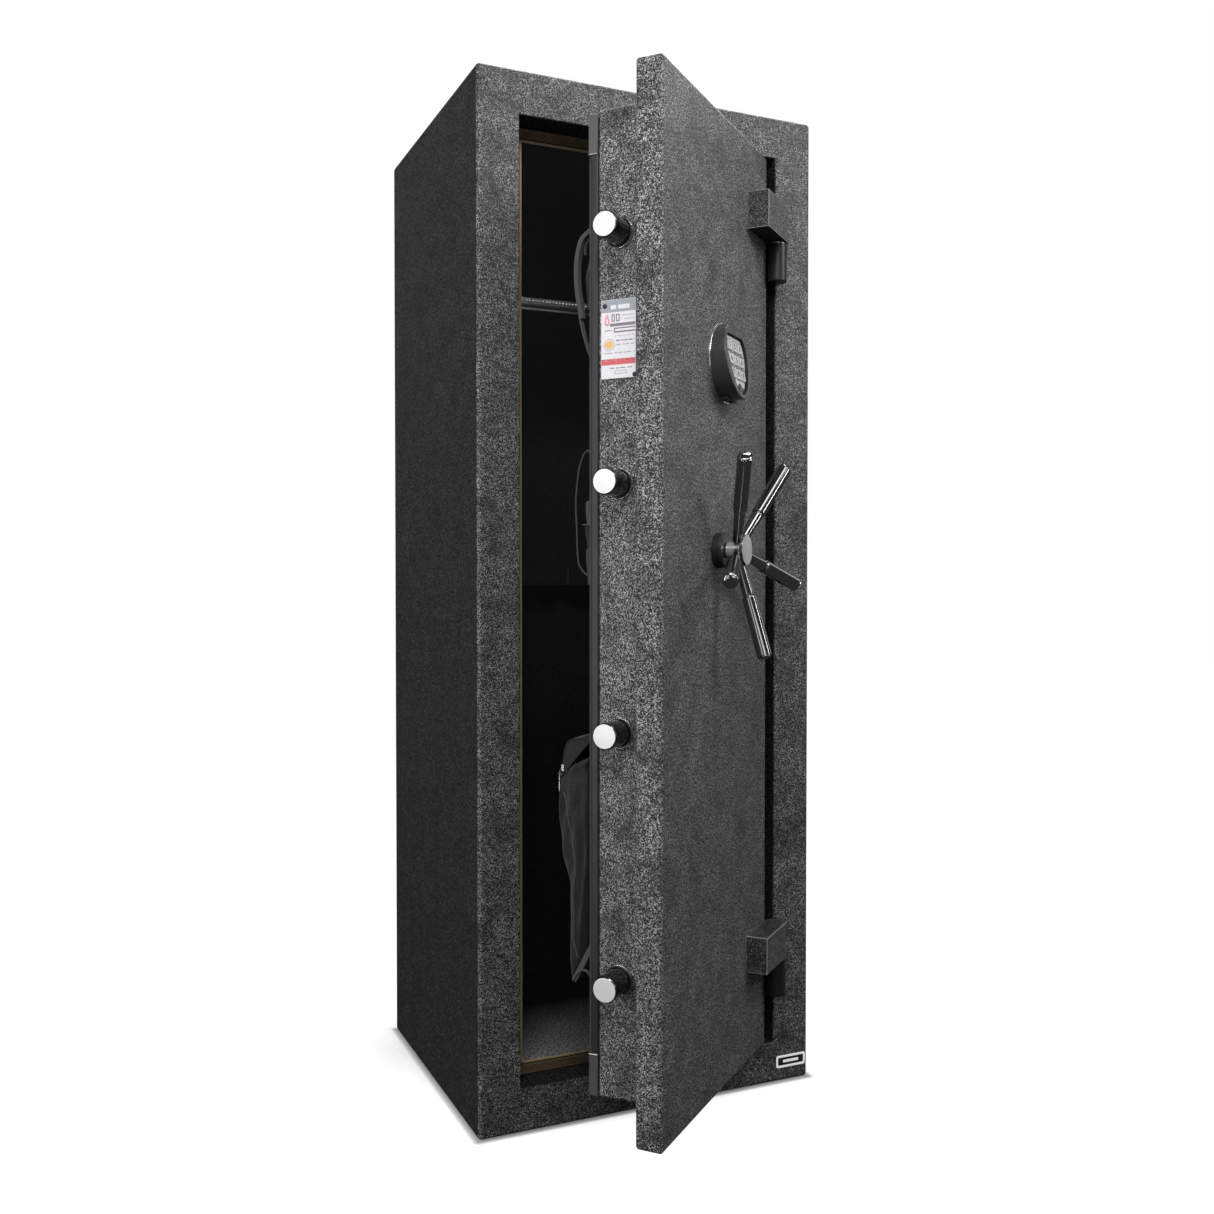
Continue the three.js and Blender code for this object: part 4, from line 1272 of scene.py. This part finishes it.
def build_organizer_sheet():
    low, high = SHEET_BOX
    columns, rows = 40, 150
    bm = bmesh.new()
    grid = []
    for j in range(rows + 1):
        z = low.z + (high.z - low.z) * j / rows
        line = []
        for i in range(columns + 1):
            x = low.x + (high.x - low.x) * i / columns
            edge = min(i, columns - i, j, rows - j) / 6
            wave = ripple(x, z, 90 * MM, 3.1) + 0.5 * ripple(x, z, 35 * MM, 8.7)
            y = CLOTH_BACK + 0.5 * MM + 0.9 * MM * min(edge, 1) * (0.5 + 0.5 * wave)
            line.append(bm.verts.new((x, y, z)))
        grid.append(line)
    skin(bm, grid)
    cloth = make("organizer_sheet", bm, [NYLON], DOOR)
    modify(cloth, "thick", "SOLIDIFY", thickness=1.4 * MM, offset=0)
    settle(cloth)
    enter(cloth, "door", ["organizer_panel"])

    def edge_line(inset, radius, steps, step, y):
        edge = rounded_rectangle(low.x + inset, high.x - inset, low.z + inset, high.z - inset,
                                 radius, steps)
        return [(x, CLOTH_BACK + y, z) for x, z in dense(edge, step)]

    path = edge_line(3 * MM, 14 * MM, 6, 14 * MM, 1.7 * MM)
    add("organizer_binding", swept(path, tape(3.4 * MM, 9 * MM, 3), Y_AXIS, closed=True),
        WEBBING, "door", angle=60)
    build_stitches("binding_stitches", edge_line(5.5 * MM, 11 * MM, 4, 6 * MM, 3.5 * MM))
    for name, x, z in grommet_places(low, high):
        build_grommet(name, x, z)


def dense(outline, step):
    """A closed outline with points no further apart than step."""
    made = []
    for a, b in zip(outline, outline[1:] + outline[:1]):
        a, b = Vector(a), Vector(b)
        count = max(1, math.ceil((b - a).length / step))
        made += [tuple(a.lerp(b, k / count)) for k in range(count)]
    return made


def build_stitches(name, points, radius=0.45 * MM):
    """A row of thread dashes along points, every other gap sewn."""
    dashes = []
    for a, b in list(zip(points, points[1:]))[::2]:
        a, b = Vector(a), Vector(b)
        if (b - a).length > 0.5 * MM:
            dashes.append(swept([a.lerp(b, -0.2), a.lerp(b, 1.2)], circle(radius, 5), Y_AXIS))
    add(name, merged(dashes), WEBBING, "door", angle=None)


def grommet_places(low, high):
    inset = 17 * MM
    middle = (low.z + high.z) / 2
    for z_name, z in (("low", low.z + inset), ("middle", middle), ("high", high.z - inset)):
        yield f"{z_name}_left", low.x + inset, z
        yield f"{z_name}_right", high.x - inset, z


def build_grommet(name, x, z):
    ring = fillet(mm([(3.4, -0.3), (6.4, -0.3), (6.2, 0.9), (4.6, 1.5), (3.4, 0.8)]),
                  0.4 * MM, 3, closed=True)
    place = DOOR @ aimed((x, CLOTH_FRONT - 0.2 * MM, z), (0, 1, 0))
    add(f"grommet_{name}", turned(ring, 32), BRIGHT, "door", place=place)
    build_screw(f"grommet_screw_{name}", (x, CLOTH_FRONT - 0.8 * MM, z), 3.0 * MM)


def build_webbing_row(name, z, x0, x1):
    """A webbing strap tacked down at even steps, so that it stands out between the tacks."""
    tack = 38 * MM
    count = int((x1 - x0) / tack)
    start = (x0 + x1 - count * tack) / 2
    points = []
    steps = 8
    for k in range(count * steps + 1):
        x = start + tack * k / steps
        rise = 1.5 * MM * abs(math.sin(math.pi * k / steps)) ** 0.6
        points.append((x, CLOTH_FRONT + 0.2 * MM + rise, z))
    add(name, swept(points, tape(25 * MM, 1.3 * MM), Z_AXIS), WEBBING, "door",
        angle=60)


def pillow(low, high, front, back, columns=24, rows=40, corner=0.0):
    """A closed form between two faces. front and back give y from (u, v), each 0 to 1, with u
    along x and v up z. The corners of its outline are pulled in by corner."""
    bm = bmesh.new()
    grids = []
    for surface in (front, back):
        grid = []
        for j in range(rows + 1):
            v = j / rows
            line = []
            for i in range(columns + 1):
                u = i / columns
                pull = corner * max(0, 1 - 4 * min(v, 1 - v)) ** 2
                x = low.x + pull + (high.x - low.x - 2 * pull) * u
                line.append(bm.verts.new((x, surface(u, v), low.z + (high.z - low.z) * v)))
            grid.append(line)
        grids.append(grid)
    shell(bm, grids)
    return bm


def puff(obj, voxel, pressure, cap, held, slack):
    """Cloth simulation of a stuffed piece: remeshed, blown up a little with spare fabric so
    that it creases, its motion capped, then applied and subdivided once."""
    modify(obj, "remesh", "REMESH", mode="VOXEL", voxel_size=voxel, use_smooth_shade=True)
    settle(obj)
    group = obj.vertex_groups.new(name="held")
    group.add([v.index for v in obj.data.vertices if held(v.co)], 1.0, "REPLACE")
    cloth = obj.modifiers.new("Cloth", "CLOTH")
    sewn = cloth.settings
    sewn.vertex_group_mass = "held"
    sewn.use_pressure = True
    sewn.uniform_pressure_force = pressure
    sewn.effector_weights.gravity = 0
    sewn.shrink_min = -slack
    sewn.shrink_max = -slack
    sewn.bending_stiffness = 0.3
    cloth.point_cache.frame_start = 1
    cloth.point_cache.frame_end = 20
    for step in range(1, 21):
        scene.frame_set(step)
    graph = bpy.context.evaluated_depsgraph_get()
    moved = [v.co.copy() for v in obj.evaluated_get(graph).data.vertices]
    obj.modifiers.remove(cloth)
    for v, target in zip(obj.data.vertices, moved):
        step = target - v.co
        if step.length > cap:
            step *= cap / step.length
        v.co += step
    scene.frame_set(1)
    obj.vertex_groups.clear()
    modify(obj, "even", "SMOOTH", factor=0.5, iterations=2)
    modify(obj, "finer", "SUBSURF", levels=1, render_levels=1)
    settle(obj)
    obj.data.polygons.foreach_set("use_smooth", [True] * len(obj.data.polygons))


def keep_in_front(obj, y):
    """No vertex lies deeper than y."""
    for v in obj.data.vertices:
        v.co.y = max(v.co.y, y)


def on_surface(obj, points, direction, lift):
    """Points moved along direction onto the object, then lifted off it a little."""
    direction = Vector(direction).normalized()
    made = []
    for p in points:
        start = Vector(p) - direction * 0.2
        hit, where = obj.ray_cast(start, direction)[:2]
        made.append(where - direction * lift if hit else Vector(p))
    return made


def along(profile, v):
    """Value at v of a profile of (v, value) points, smoothly joined."""
    for (v0, a), (v1, b) in zip(profile, profile[1:]):
        if v <= v1:
            t = (v - v0) / (v1 - v0)
            t = t * t * (3 - 2 * t)
            return a + (b - a) * t
    return profile[-1][1]


def build_bottom_pouch():
    """The large zipped pouch: hung from its top, it stands off the panel and droops below."""
    low, high = local_box("organizer_bottom_pouch")
    y0 = low.y
    low = Vector((low.x + 6 * MM, low.y, low.z))
    high = Vector((high.x, high.y, low.z + 288 * MM))
    out = [(0, 31), (0.04, 35), (0.15, 36), (0.28, 36.8), (0.34, 38), (0.41, 40), (0.47, 42.4),
           (0.56, 47), (0.66, 50.2), (0.75, 52.4), (0.84, 51.6), (0.89, 49.0), (0.925, 44.5),
           (0.945, 34), (0.965, 20), (0.985, 8), (1, 4)]
    inner = [(0, 28), (0.1, 23.6), (0.15, 21.5), (0.36, 18), (0.58, 13.7), (0.79, 9.4),
             (0.92, 12), (0.97, 8), (1, 3)]
    side = lambda u: 1 - 0.06 * (1 - min(1, 30 * min(u, 1 - u))) ** 2
    front = lambda u, v: y0 + MM * along(out, v) * side(u)
    back = lambda u, v: y0 + MM * along(inner, v)
    bag = make("organizer_bag", pillow(low, high, front, back, rows=60), [NYLON], DOOR)
    held = lambda p: p.z > high.z - 14 * MM or p.y < y0 + 6 * MM
    puff(bag, 5 * MM, 1.6, 3 * MM, held, 0.05)
    keep_in_front(bag, y0 + 0.5 * MM)
    fold_sides(bag, low, high)
    enter(bag, "door", ["organizer_bottom_pouch"])
    for name, x, direction in (("free", low.x, 1), ("hinge", high.x, -1)):
        build_bag_piping(bag, name, x, y0, direction)
        build_bag_strap(name, x + direction * 3 * MM, y0)
    build_bag_flap(y0, low.x, high.x)
    build_bag_zip(bag, low, high, y0)


def build_bag_piping(bag, name, x, y0, direction):
    """The sewn seam and the short pleat down one end of the bag."""
    seam = [(466, 41), (438, 35), (407, 29.6), (375, 25.3), (332, 27.5), (282, 27.5), (256, 22)]
    pleat = [(369, 25), (362, 29), (354, 34)]
    parts = []
    for line, radius in ((seam, 1.0), (pleat, 0.7)):
        points = hung_line(x - direction * 0.1, y0 + 2 * MM, line, 8)
        points = on_surface(bag, points, (direction, 0, 0), 0.3 * MM)
        parts.append(swept(points, circle(radius * MM, 8), Y_AXIS))
    add(f"bag_piping_{name}", merged(parts), WEBBING, "door", angle=60)


def build_bag_zip(bag, low, high, y0):
    """The zip under the flap, its pull and the snap beside it."""
    ends = 8 * MM
    xs = [low.x + ends + (high.x - low.x - 2 * ends) * k / 60 for k in range(61)]
    line = on_surface(bag, [(x, y0 + 0.1, 491 * MM) for x in xs], (0, -1, 0), 0.2 * MM)
    build_zip("bag_zip", line)
    build_zip_pull("bag_zip_pull", line[0] + Vector((0, 6 * MM, 4 * MM)))
    stud = turned(fillet(mm([(0, -2), (2.4, -2), (2.4, 1), (0, 1.6)]), mm([0, 0, 0.8, 0])), 20)
    add("bag_snap", stud, BRIGHT, "door",
        place=DOOR @ aimed((low.x - 3 * MM, CLOTH_FRONT + 3 * MM, 505 * MM), (-1, 0.3, 0)), angle=60)


def fold_sides(bag, low, high):
    """Long soft folds down the bag's two end faces."""
    middle = (low.x + high.x) / 2
    for v in bag.data.vertices:
        near = max(0.0, 1 - min(v.co.x - low.x, high.x - v.co.x) / (14 * MM))
        slant = v.co.y + 0.10 * (v.co.z - low.z)
        fold = noise.noise(Vector((slant / (8 * MM), v.co.z / (75 * MM), 4.2)))
        fold += 0.5 * noise.noise(Vector((v.co.y / (16 * MM), v.co.z / (26 * MM), 9.6)))
        v.co.x += math.copysign(5.0 * MM, v.co.x - middle) * near * (fold - 0.2)


def hung_line(x, y0, points, steps):
    """A smooth line in the plane x from (height, distance off the panel) in millimetres."""
    return curve_through([(x, y0 + d * MM, z * MM) for z, d in points], steps)


def band(width, thickness, radius, steps=2):
    """Cross-section with rounded corners, in millimetres."""
    w, t, r = mm((width / 2, thickness / 2, radius))
    return rounded_rectangle(-w, w, -t, t, r, steps)


def build_bag_flap(y0, x0, x1):
    """The cover of the bag's zip: sewn to the panel, over the shoulder, with a gusset at each
    end and a dark hollow below it."""
    over = [(541, 2), (537, 13), (534.5, 23), (532, 34), (525, 40), (513, 42.5), (500, 44)]
    under = [(490, 43), (497, 36), (507, 28), (520, 16), (533, 4)]
    line = hung_line(0, y0, over, 5)
    points = [((x0 + x1) / 2, p.y, p.z) for p in line]
    wide = x1 - x0
    parts = [waved_strip(points, wide, 1.8 * MM, 1.0 * MM, 5.3)]
    ring = [(p.y, p.z) for p in line + hung_line(0, y0, under, 4)]
    for x in (x0 + 1.2 * MM, x1 - 1.2 * MM):
        gusset = prism([[(x + shift + 1.4 * MM * ripple(y, z, 11 * MM, 2.4), y, z) for y, z in ring]
                        for shift in mm((-0.8, 0.8))])
        bmesh.ops.triangulate(gusset, faces=[f for f in gusset.faces if len(f.verts) > 4])
        parts.append(gusset)
    flap = make("bag_flap", merged(parts), [NYLON], DOOR)
    weighted(flap, 60)
    enter(flap, "door")


def waved_strip(points, width, thickness, wave, seed, columns=36):
    """A wide strip of cloth along points, with slight waves across its width."""
    bm = bmesh.new()
    grids = []
    points = [Vector(p) for p in points]
    for side in (-0.5, 0.5):
        grid = []
        for i, p in enumerate(points):
            tangent = (points[min(i + 1, len(points) - 1)] - points[max(i - 1, 0)]).normalized()
            normal = tangent.cross(X_AXIS)
            row = []
            for k in range(columns + 1):
                x = p.x + width * (k / columns - 0.5)
                rise = wave * ripple(x, p.z, 45 * MM, seed) * min(1, i / 4)
                row.append(bm.verts.new(Vector((x, p.y, p.z)) + normal * (rise + side * thickness)))
            grid.append(row)
        grids.append(grid)
    shell(bm, grids)
    return bm


def build_bag_strap(name, x, y0):
    """The webbing loop that ties the bag's drooping foot back to the panel."""
    points = hung_line(x, y0, [(284, -1), (268, 9), (247, 20), (229, 30)], 6)
    foot = hung_line(x, y0, [(229, 31), (238, 25), (244, 17), (241, 9), (231, 3), (222, -1)], 6)
    loops = merged([swept(points, band(1.8, 6.8, 0.7), X_AXIS), swept(foot, band(4.8, 1.8, 0.7), X_AXIS)])
    add(f"bag_strap_{name}", loops, WEBBING, "door", angle=60)


def build_zip(name, line):
    """Zip tape with two rows of teeth along a line that runs in x."""
    add(f"{name}_tape", swept(line, tape(13 * MM, 1.0 * MM), Z_AXIS), WEBBING, "door",
        angle=60)
    teeth = []
    for a, b in zip(line, line[1:]):
        for t, side in ((0.25, -1), (0.75, 1)):
            p = a.lerp(b, t) + Vector((0, 0.8 * MM, side * 0.9 * MM))
            half = Vector((0.75 * MM, 0.6 * MM, 1.5 * MM))
            teeth.append(block(p - half, p + half))
    add(f"{name}_teeth", merged(teeth), EDGE_METAL, "door", angle=None, smooth=False)


def build_zip_pull(name, where):
    """Slider body with a long metal pull hanging from it."""
    slider = soft_block(where + Vector((-2.4, -3.6, -5)) * MM, where + Vector((2.4, 1.4, 5)) * MM,
                        MM, 3)
    ring = mm([(0, 1.6 + 2.6 * u, -5 + 3.2 * v) for u, v in circle(1, 16)])
    link = swept([where + Vector(p) for p in ring], circle(0.55 * MM, 8), X_AXIS, closed=True)
    outline = rounded_rectangle(-2.4 * MM, 2.4 * MM, -31 * MM, -7 * MM, 2.2 * MM)
    tab = shifted(plate(outline, -0.9 * MM, 0.9 * MM),
                  Matrix.Translation(where + Vector((0, 3.4, 0)) * MM))
    pull = make(name, merged([slider, link, tab]), [BRIGHT], DOOR)
    round_edges(pull, 0.3 * MM, 2, 50)
    weighted(pull)
    enter(pull, "door")


def build_top_pouch():
    """A shallow pocket whose front sheet bows out, with bound side edges."""
    low, high = local_box("organizer_top_pouch")
    y0 = low.y
    bow = [(1003, 1.5), (1016, 6.5), (1034, 12), (1053, 16.5), (1071, 19.5), (1090, 22.5),
           (1114, 23.5), (1130, 22), (1144, 18.5), (1152, 14), (1159, 4)]
    tuck = [(1150, 4), (1142, 9), (1131, 11)]
    heights = [((z * MM - low.z) / (high.z - low.z), d - 3) for z, d in bow]
    heights = [(0, 0.8)] + heights + [(1, 1.0)]
    front = lambda u, v: y0 + MM * (along(heights, v) * min(1, 0.55 + 5 * min(u, 1 - u)) - 1.0)
    inset = Vector((14 * MM, 0, 3 * MM))
    body = make("organizer_pocket", pillow(low + inset, high - inset, front,
                                           lambda u, v: y0 + 0.3 * MM, rows=30), [NYLON, LINING], DOOR)
    held = lambda p: p.y < y0 + 3 * MM
    puff(body, 4.5 * MM, 2.5, 5 * MM, held, 0.04)
    keep_in_front(body, y0 + 0.3 * MM)
    by_facing(body, lambda n, c: abs(n.x) > 0.5, 1)
    enter(body, "door", ["organizer_top_pouch"])
    for name, x in (("free", low.x + 5 * MM), ("hinge", high.x - 5 * MM)):
        parts = [swept(hung_line(x, y0 - 2 * MM, bow[3:], 5), band(10, 6, 1.6, 3), X_AXIS),
                 swept(hung_line(x, y0, bow[:4], 5), band(10, 1.8, 0.8), X_AXIS),
                 swept(hung_line(x, y0, tuck, 5), band(6, 1.4, 0.6), X_AXIS)]
        add(f"pocket_band_{name}", merged(parts), WEBBING, "door", angle=60)


def build_holster_pad(name, x, y0, size, front, back, cloth, stands_for=()):
    """A stuffed section, in millimetres: size is its near and far x and its low and high z,
    front its distance off the panel at the foot and at the top."""
    x0, x1, z0, z1 = mm(size)
    foot, top = front
    pad = make(name, pillow(
        Vector((x + x0, y0, z0)), Vector((x + x1, y0, z1)),
        lambda u, v: y0 + MM * (foot + (top - foot) * v) * min(1, 0.9 + 2 * min(u, 1 - u)),
        lambda u, v: y0 + back * MM, 20, 16), [cloth], DOOR)
    puff(pad, 4 * MM, 1.2, 1.2 * MM, lambda p: p.y < y0 + 2 * MM, 0.02)
    keep_in_front(pad, y0 + 0.4 * MM)
    enter(pad, "door", stands_for)


def build_holster():
    """A padded holster of two sections with tails below, and a long bowed cord over it."""
    low = local_box("organizer_holster")[0]
    x, y0 = low.x, low.y
    build_holster_pad("organizer_holster_body", x, y0, (3, 78, 795, 829), (9.4, 12.4), 1.0,
                      WEBBING, ["organizer_holster"])
    build_holster_pad("organizer_holster_foot", x, y0, (1, 82, 764, 801), (6.4, 11.6), 0.6, NYLON)

    seam_z = 799.5 * MM
    lines = [[(x + u * MM, y0 + d * MM, seam_z) for u, d in line]
             for line in (((1, 12.2), (40, 12.8), (82, 12.2)), ((1.2, 1), (1.2, 12.2)))]
    hems = merged([swept(line, circle(0.9 * MM, 8), Z_AXIS) for line in lines])
    add("holster_binding", hems, WEBBING, "door", angle=60)
    for k, (shift, line) in enumerate(((6, ((770, 5.4), (758, 5.2), (746, 3.2), (737, 2))),
                                       (7, ((770, 7.8), (752, 7.4), (738, 5.6), (726, 5.6)))), 1):
        tail = hung_line(x + shift * MM, y0, line, 6)
        add(f"holster_tail_{k}", swept(tail, band(8, 2.6, 1.0), X_AXIS), WEBBING, "door",
            angle=60)

    cord_x = x + 4 * MM
    bow = hung_line(cord_x, y0, (
        (889, 2), (891, 7), (886, 12.5), (874, 17.5), (860, 20.5), (829, 23.5), (792, 22.2),
        (757, 20.5), (747, 17), (739, 10), (734, 1.5)), 8)
    add("holster_cord", swept(bow, circle(0.95 * MM, 8), X_AXIS), WEBBING, "door", angle=60)
    snap = turned(fillet(mm([(0, -1), (2.8, -1), (2.8, 1.4), (1.8, 2.6), (0, 2.8)]),
                         mm([0, 0, 0.7, 1, 0])), 28)
    place = DOOR @ aimed((cord_x - 2 * MM, y0 + 1.6 * MM, 889 * MM), (-1, 0.4, 0))
    add("cord_snap", snap, BRIGHT, "door", place=place, angle=60)


def build_organizer():
    build_organizer_sheet()
    build_top_pouch()
    build_holster()
    build_bottom_pouch()
    low, high = SHEET_BOX
    tops = [local_box(node)[1].z for node in (
        "organizer_top_pouch", "organizer_holster", "organizer_bottom_pouch")]
    foot = local_box("organizer_bottom_pouch")[0].z
    rows = [(tops[0], (34, 72)), (tops[1], (26, 64)), (tops[2], (50, 88, 126)), (foot, (-44, -82))]
    heights = [z + step * MM for z, steps in rows for step in steps]
    for k, z in enumerate(heights, 1):
        build_webbing_row(f"webbing_row_{k}", z, low.x + 16 * MM, high.x - 16 * MM)


# ---- scene --------------------------------------------------------------------------------
CAMERA_LENS = 35.21
CAMERA_PLACE = (-0.732, -1.6825, 0.7251)
CAMERA_TURN = (88.95, 0, -24.27)


def build_camera():
    data = bpy.data.cameras.new("camera")
    data.lens = CAMERA_LENS
    data.sensor_width = 36
    data.clip_start = 0.01
    data.clip_end = 60
    camera = bpy.data.objects.new("camera", data)
    camera.location = CAMERA_PLACE
    camera.rotation_euler = [math.radians(angle) for angle in CAMERA_TURN]
    scene.collection.objects.link(camera)
    scene.camera = camera


def softbox(name, where, target, width, height, power, diffuse=True, glossy=True):
    data = bpy.data.lights.new(name, "AREA")
    data.shape = "RECTANGLE"
    data.size = width
    data.size_y = height
    data.energy = power
    light = bpy.data.objects.new(name, data)
    light.location = where
    light.rotation_euler = (Vector(target) - Vector(where)).to_track_quat("-Z", "Y").to_euler()
    light.visible_camera = False
    light.visible_diffuse = diffuse
    light.visible_glossy = glossy
    scene.collection.objects.link(light)


# name, place, target, width, height, power, lights surfaces, shows in shiny surfaces
LIGHTS = (
    ("key_left", (-1.0, -1.9, 2.4), (0.0, -0.3, 0.9), 0.8, 0.6, 24, True, True),
    ("key_front", (0.1, -1.75, 2.3), (0.1, -0.3, 0.9), 1.0, 0.5, 5.4, True, True),
    ("key_right", (1.3, -1.7, 2.2), (0.1, -0.3, 0.9), 0.8, 0.6, 13, True, True),
    ("low_left", (-1.5, -1.6, 0.8), (0.0, -0.3, 0.8), 0.6, 1.2, 2.6, True, True),
    ("side", (-2.3, 0.0, 1.7), (-0.2, 0.0, 0.8), 0.8, 0.8, 39, True, False),
    ("door_top", (0.85, -1.05, 2.15), (0.0, -0.38, 1.35), 0.4, 0.4, 3.3, True, True),
    ("front", (-0.45, -2.4, 0.9), (0.0, -0.3, 0.7), 0.8, 0.8, 4.4, True, True),
    ("card_behind", (1.7, 0.15, 1.15), (0.1, -0.4, 0.8), 0.7, 0.9, 1.6, False, True),
    ("card_front", (-0.25, -2.1, 2.35), (0.1, -0.4, 0.8), 1.5, 0.15, 6, False, True),
    ("card_right", (1.9, -1.7, 1.4), (0.1, -0.4, 0.8), 0.12, 1.2, 9, False, True),
    ("card_left", (-1.75, -0.95, 0.85), (0.1, -0.4, 0.8), 0.15, 1.6, 8, False, True),
    ("card_above", (0.35, 0.15, 2.0), (0.05, -0.5, 0.9), 0.9, 0.7, 18, False, True),
    ("back_fill", (-0.6, 2.4, 2.2), (0, 0.2, 0.8), 1.6, 1.2, 30, True, False),
)
AMBIENT = 0.02
MIRRORED = 0.08


def build_world():
    """White for the camera, dim for reflections and nearly dark as a light."""
    world = bpy.data.worlds.new("studio")
    scene.world = world
    world.use_nodes = True
    tree = world.node_tree
    tree.nodes.clear()
    path = tree.nodes.new("ShaderNodeLightPath")
    shader = None
    for ray, strength in ((None, AMBIENT), ("Is Glossy Ray", MIRRORED), ("Is Camera Ray", 1.0)):
        plain = tree.nodes.new("ShaderNodeBackground")
        plain.inputs["Color"].default_value = (1, 1, 1, 1)
        plain.inputs["Strength"].default_value = strength
        if shader is None:
            shader = plain.outputs[0]
            continue
        mix = tree.nodes.new("ShaderNodeMixShader")
        tree.links.new(path.outputs[ray], mix.inputs["Fac"])
        tree.links.new(shader, mix.inputs[1])
        tree.links.new(plain.outputs[0], mix.inputs[2])
        shader = mix.outputs[0]
    output = tree.nodes.new("ShaderNodeOutputWorld")
    tree.links.new(shader, output.inputs["Surface"])


def build_studio():
    for light in LIGHTS:
        softbox(*light)
    build_world()
    bm = bmesh.new()
    bmesh.ops.create_circle(bm, cap_ends=True, segments=96, radius=14)
    floor = make("floor", bm, [floor_material()], ROW, smooth=False)
    floor.visible_diffuse = False
    floor.visible_glossy = False
    scene.view_settings.view_transform = "Standard"


def floor_material():
    """White floor whose glow carries a painted narrow contact shadow round the cabinet's foot and a
    painted soft shadow off its left back corner.
    """
    look = Look("floor", 0.25, 0.9, specular=0.0)
    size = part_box("body_shell")[1]
    flat = look.vector("ABSOLUTE", look.where)
    flat = look.vector("SUBTRACT", flat, (size.x, size.y, 0))
    flat = look.vector("MAXIMUM", flat)
    away = look.vector("LENGTH", flat, output="Value")
    # Painted contact shadow: the glow dips close to the cabinet's foot.
    near = look.ramp(look.math("DIVIDE", away, 100 * MM), (0.0, 0.16), (0.04, 0.36), (0.09, 0.84),
                     (0.22, 0.96), (1.0, 1.0))
    # Painted soft shadow off the cabinet's left back corner.
    corner = look.node("ShaderNodeMapping", {
        "Vector": look.where, "Location": (-size.x - 20 * MM, size.y * 0.55, 0),
        "Scale": (90 * MM, 210 * MM, 1)}, vector_type="TEXTURE").outputs["Vector"]
    painted_corner_shadow = look.node("ShaderNodeTexGradient", {"Vector": corner},
                     gradient_type="SPHERICAL").outputs["Fac"]
    glow = look.math("MULTIPLY", near, look.ramp(painted_corner_shadow, (0.0, 1.0), (1.0, 0.70)))
    look.use("Emission Color", glow)
    look.shader.inputs["Emission Strength"].default_value = 1.0
    grain = look.noise(4 * MM, 2.0)
    look.use("Base Color", look.ramp(grain, (0.3, 0.24), (0.7, 0.26)))
    return look.material


def main():
    build_camera()
    build_studio()
    dress_frame()
    build_cabinet()
    build_seal_bead()
    build_badge()
    build_shelf_edge()
    for side in ("upper", "lower"):
        build_hinge_arm(side)
        build_hinge_stand(side)
    build_slab()
    build_bolt_box([bolt_centre(k) for k in range(1, 5)])
    build_cover()
    for k in range(1, 5):
        build_bolt(k)
        build_bolt_collar(k)
    build_rating_plate()
    build_handle()
    build_keypad()
    build_organizer()


main()
